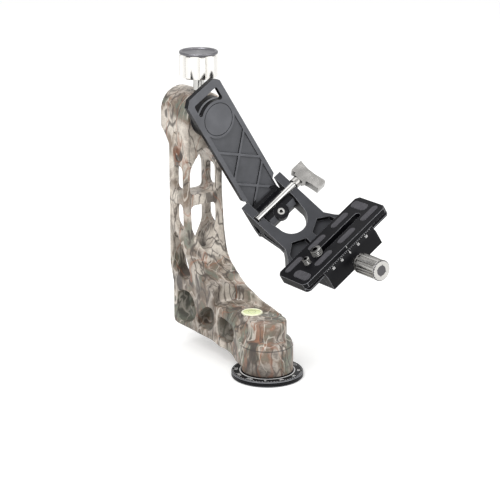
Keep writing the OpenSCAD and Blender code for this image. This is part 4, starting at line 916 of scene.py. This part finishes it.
class HEAD_OT_base(bpy.types.Operator):
    """Makes the base disc with its degree dial"""

    bl_idname = "head.base"
    bl_label = "Base disc and dial"

    def execute(self, context):
        sizes = context.scene.head_sizes
        skins = [finish_of("black"), finish_of("edge")]
        bevelled("base_disc", "base", "black_anodised", skins, sizes.edge_break * 2)
        disc_top = 4.8
        ring_inner, ring_outer = 22.3, 23.3
        tick_inner, tick_outer, half_width = 28.0, 28.9, 0.2
        numeral_radius = 26.2
        top = Vector((0, 0, disc_top * MM))
        ink = finish_of("ink")
        # A tick every 5 degrees, and a number instead of every sixth one.
        corners = (
            (tick_inner, -half_width),
            (tick_outer, -half_width),
            (tick_outer, half_width),
            (tick_inner, half_width),
        )
        ticks = []
        for i in range(72):
            if i % 6 == 0:
                continue
            turn = sizes.dial_turn + math.tau * i / 72
            c, s = math.cos(turn), math.sin(turn)
            ticks.append([(r * c - e * s, r * s + e * c) for r, e in corners])
        ring = annulus(ring_inner, ring_outer, 120)
        marks = [flat_piece(ring + ticks, top, ALONG_X, ALONG_Y, ink)]
        for i in range(12):
            turn = sizes.dial_turn + math.tau * i / 12
            out = Vector((math.cos(turn), math.sin(turn), 0))
            origin = top + out * numeral_radius * MM
            marks.append(
                numeral_mesh(str(i * 30), sizes.dial_numeral / MM, origin, UP.cross(out), -out, ink)
            )
        link("dial_marks", joined(marks, "dial_marks"), "base", "level_white")
        return {"FINISHED"}


class HEAD_OT_jaw_scale(bpy.types.Operator):
    """Makes the scale on the moving jaw and the index line on the plate"""

    bl_idname = "head.jaw_scale"
    bl_label = "Jaw scale"

    def execute(self, context):
        sizes = context.scene.head_sizes
        ink = finish_of("ink")
        # The jaw's sloping face, from its upper edge to its lower one.
        high, low = swing(24.15, 0, 120.1), swing(26.95, 0, 125.0)
        up = (high - low).normalized()
        spacing, half_width, gap, numeral_drop = 2, 0.12, 0.4, 3.0
        ticks = []
        for i in range(-13, 14):
            foot = -gap - (1.0 if i % 5 == 0 else 0.6)
            left, right = i * spacing - half_width, i * spacing + half_width
            ticks.append([(left, -gap), (left, foot), (right, foot), (right, -gap)])
        marks = [flat_piece(ticks, high, ALONG_PLATE, up, ink)]
        for w in (-20, -10, 0, 10, 20):
            origin = high + ALONG_PLATE * w * MM - up * numeral_drop * MM
            marks.append(numeral_mesh(str(abs(w)), sizes.jaw_numeral / MM, origin, ALONG_PLATE, up, ink))
        link("jaw_scale", joined(marks, "jaw_scale"), "jaw", "level_white")
        line = [(-0.2, -2.4), (0.2, -2.4), (0.2, 0), (-0.2, 0)]
        mesh = flat_piece([line], swing(24.4, 0, PLATE_FACE + 0.3), ALONG_PLATE, -DOWN_ARM, ink)
        link("index_line", mesh, "plate", "level_white")
        return {"FINISHED"}


class HEAD_OT_level(bpy.types.Operator):
    """Makes the round spirit level in the foot"""

    bl_idname = "head.level"
    bl_label = "Level"

    def execute(self, context):
        low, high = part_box("level_vial")
        centre = (low + high) / 2
        foot = Vector((centre.x, centre.y, low.z))
        rise = (high.z - low.z) / MM
        radius = (high.x - low.x) / 2 / MM
        glass, glass_foot, crown, steps = radius - 1.65, rise - 0.24, 0.2, 9
        body = [(radius - 0.3, 0), (radius, 0.3), (radius, rise - 0.4), (radius - 0.4, rise)]
        body += [(radius - 1.4, rise), (radius - 1.6, rise - 0.25)]
        rim = turned(body, 64, foot, UP, finish_of("vial"))
        link("level_rim", rim, "pan", "level_white", "level_vial")
        dome = [(glass, glass_foot)]
        for i in range(1, steps):
            angle = i / steps * math.pi / 2
            dome.append((glass * math.cos(angle), glass_foot + crown * math.sin(angle)))
        link("level_glass", turned(dome, 64, foot, UP, finish_of("liquid")), "pan", "level_liquid")
        top = foot + UP * (rise - 0.08) * MM
        ring = flat_piece(annulus(2.9, 3.15, 48), top, ALONG_X, ALONG_Y, finish_of("oxide"), 0.02, 0.02)
        link("level_ring", ring, "pan", "level_liquid")
        assign(["level_base"], finish_of("vial"))
        return {"FINISHED"}


class HEAD_OT_fittings(bpy.types.Operator):
    """Gives the inner parts, screws, bearings and brake shoes their finishes"""

    bl_idname = "head.fittings"
    bl_label = "Inner fittings"

    def execute(self, context):
        steel = ["pan_spindle", "tilt_spindle", "clamp_screw", "jaw_pins", "pan_lock_screw", "thread_bush"]
        assign(steel, finish_of("steel"))
        assign(["pan_bearings", "tilt_bearings"], finish_of("bearing"))
        assign(["pan_circlip", "tilt_circlip"], finish_of("spring"))
        assign(["pan_retainer", "pan_spacer"], finish_of("cap"))
        assign(["pan_shoe", "tilt_shoe"], finish_of("brass"))
        assign(["base_screws", "hub_screws", "hub_centre_screw", "clamp_screws"], finish_of("oxide"))
        return {"FINISHED"}


class HEAD_OT_stage(bpy.types.Operator):
    """Makes the floor, the lamps, the world and the camera"""

    bl_idname = "head.stage"
    bl_label = "Stage"

    def execute(self, context):
        scene = context.scene
        half = 9000
        square = [(-half, -half), (half, -half), (half, half), (-half, half)]
        mesh = flat_piece([square], Vector(), ALONG_X, ALONG_Y, self.floor_finish(), -0.3, 0.2)
        floor = bpy.data.objects.new("floor", mesh)
        scene.collection.objects.link(floor)
        scene.view_settings.view_transform = "Standard"
        self.light_world(scene)
        for name, spot, size, watts in LAMPS:
            lamp = bpy.data.lights.new(name, "AREA")
            lamp.size = size
            lamp.energy = watts
            holder = bpy.data.objects.new(name, lamp)
            holder.location = spot
            aim = LAMPS_AIM - Vector(spot)
            holder.rotation_euler = aim.to_track_quat("-Z", "Y").to_euler()
            scene.collection.objects.link(holder)
        self.place_camera(scene)
        return {"FINISHED"}

    def seen(self, tree):
        """One where the camera, a mirror or glass looks, and nought where only light is gathered."""
        rays = add(tree, "ShaderNodeLightPath").outputs
        looks = {0: rays["Is Camera Ray"], 1: rays["Is Glossy Ray"]}
        looks = add(tree, "ShaderNodeMath", looks, operation="MAXIMUM").outputs[0]
        looks = {0: looks, 1: rays["Is Transmission Ray"]}
        return add(tree, "ShaderNodeMath", looks, operation="MAXIMUM").outputs[0]

    def floor_finish(self):
        """Pale studio paper: matt white, lifted to full white where the camera or a mirror sees it."""
        dull = {"Specular IOR Level": 0.1}
        finish, tree, shader, spot = new_finish("Studio paper", linear("#f4f4f3"), 0.0, 0.9, **dull)
        glow = add(tree, "ShaderNodeMath", {0: self.seen(tree), 1: 0.28}, operation="MULTIPLY").outputs[0]
        shader.inputs["Emission Color"].default_value = (1, 1, 1, 1)
        tree.links.new(glow, shader.inputs["Emission Strength"])
        fibre = add(tree, "ShaderNodeTexNoise", {"Vector": spot, "Scale": 1 / 3, "Detail": 2.0}).outputs[0]
        bump = add(tree, "ShaderNodeBump", {"Height": fibre, "Strength": 0.1, "Distance": 0.02 * MM})
        tree.links.new(bump.outputs[0], shader.inputs["Normal"])
        return finish

    def light_world(self, scene):
        """Soft white sky, at full white where it is seen and gentler as light."""
        world = bpy.data.worlds.new("Studio")
        world.use_nodes = True
        tree = world.node_tree
        tree.nodes.clear()
        level = add(tree, "ShaderNodeMapRange", {0: self.seen(tree), 3: 0.55, 4: 1.0}).outputs[0]
        sky = add(tree, "ShaderNodeBackground", {"Color": (1, 1, 1, 1), "Strength": level})
        out = add(tree, "ShaderNodeOutputWorld")
        tree.links.new(sky.outputs[0], out.inputs[0])
        scene.world = world

    def place_camera(self, scene):
        """The photograph's long lens, level and a little above the object."""
        heading, pitch = math.radians(CAMERA_HEADING), math.radians(CAMERA_FALL)
        ahead = Vector(
            (math.cos(heading) * math.cos(pitch), math.sin(heading) * math.cos(pitch), -math.sin(pitch))
        )
        right = ahead.cross(UP).normalized()
        over = right.cross(ahead)
        lens = bpy.data.cameras.new("camera")
        lens.lens = SENSOR * LENS_PIXELS / FRAME_PIXELS
        lens.sensor_width = SENSOR
        lens.clip_end = 100
        camera = bpy.data.objects.new("camera", lens)
        turn = Matrix((right, over, -ahead)).transposed().to_4x4()
        camera.matrix_world = Matrix.Translation(CAMERA_PLACE) @ turn
        scene.collection.objects.link(camera)
        scene.camera = camera


OPERATORS = (
    HEAD_OT_stage,
    HEAD_OT_casting,
    HEAD_OT_arms,
    HEAD_OT_yoke,
    HEAD_OT_clamp,
    HEAD_OT_plate,
    HEAD_OT_camera_screws,
    HEAD_OT_knobs,
    HEAD_OT_base,
    HEAD_OT_jaw_scale,
    HEAD_OT_level,
    HEAD_OT_fittings,
)


class HEAD_PT_panel(bpy.types.Panel):
    """Lists the pieces of the gimbal head."""

    bl_idname = "HEAD_PT_panel"
    bl_label = "Gimbal head"
    bl_space_type = "VIEW_3D"
    bl_region_type = "UI"
    bl_category = "Gimbal head"

    def draw(self, context):
        for group in (context.scene.head_sizes, context.scene.head_colours):
            column = self.layout.column()
            for key in group.__annotations__:
                column.prop(group, key)
        for operator in OPERATORS:
            self.layout.operator(operator.bl_idname)


CLASSES = (HeadSizes, HeadColours, *OPERATORS, HEAD_PT_panel)


def register():
    for kind in CLASSES:
        bpy.utils.register_class(kind)
    bpy.types.Scene.head_sizes = bpy.props.PointerProperty(type=HeadSizes)
    bpy.types.Scene.head_colours = bpy.props.PointerProperty(type=HeadColours)


def unregister():
    del bpy.types.Scene.head_colours
    del bpy.types.Scene.head_sizes
    for kind in reversed(CLASSES):
        bpy.utils.unregister_class(kind)


def main():
    register()
    for operator in OPERATORS:
        group, name = operator.bl_idname.split(".")
        getattr(getattr(bpy.ops, group), name)()


if __name__ == "__main__":
    main()
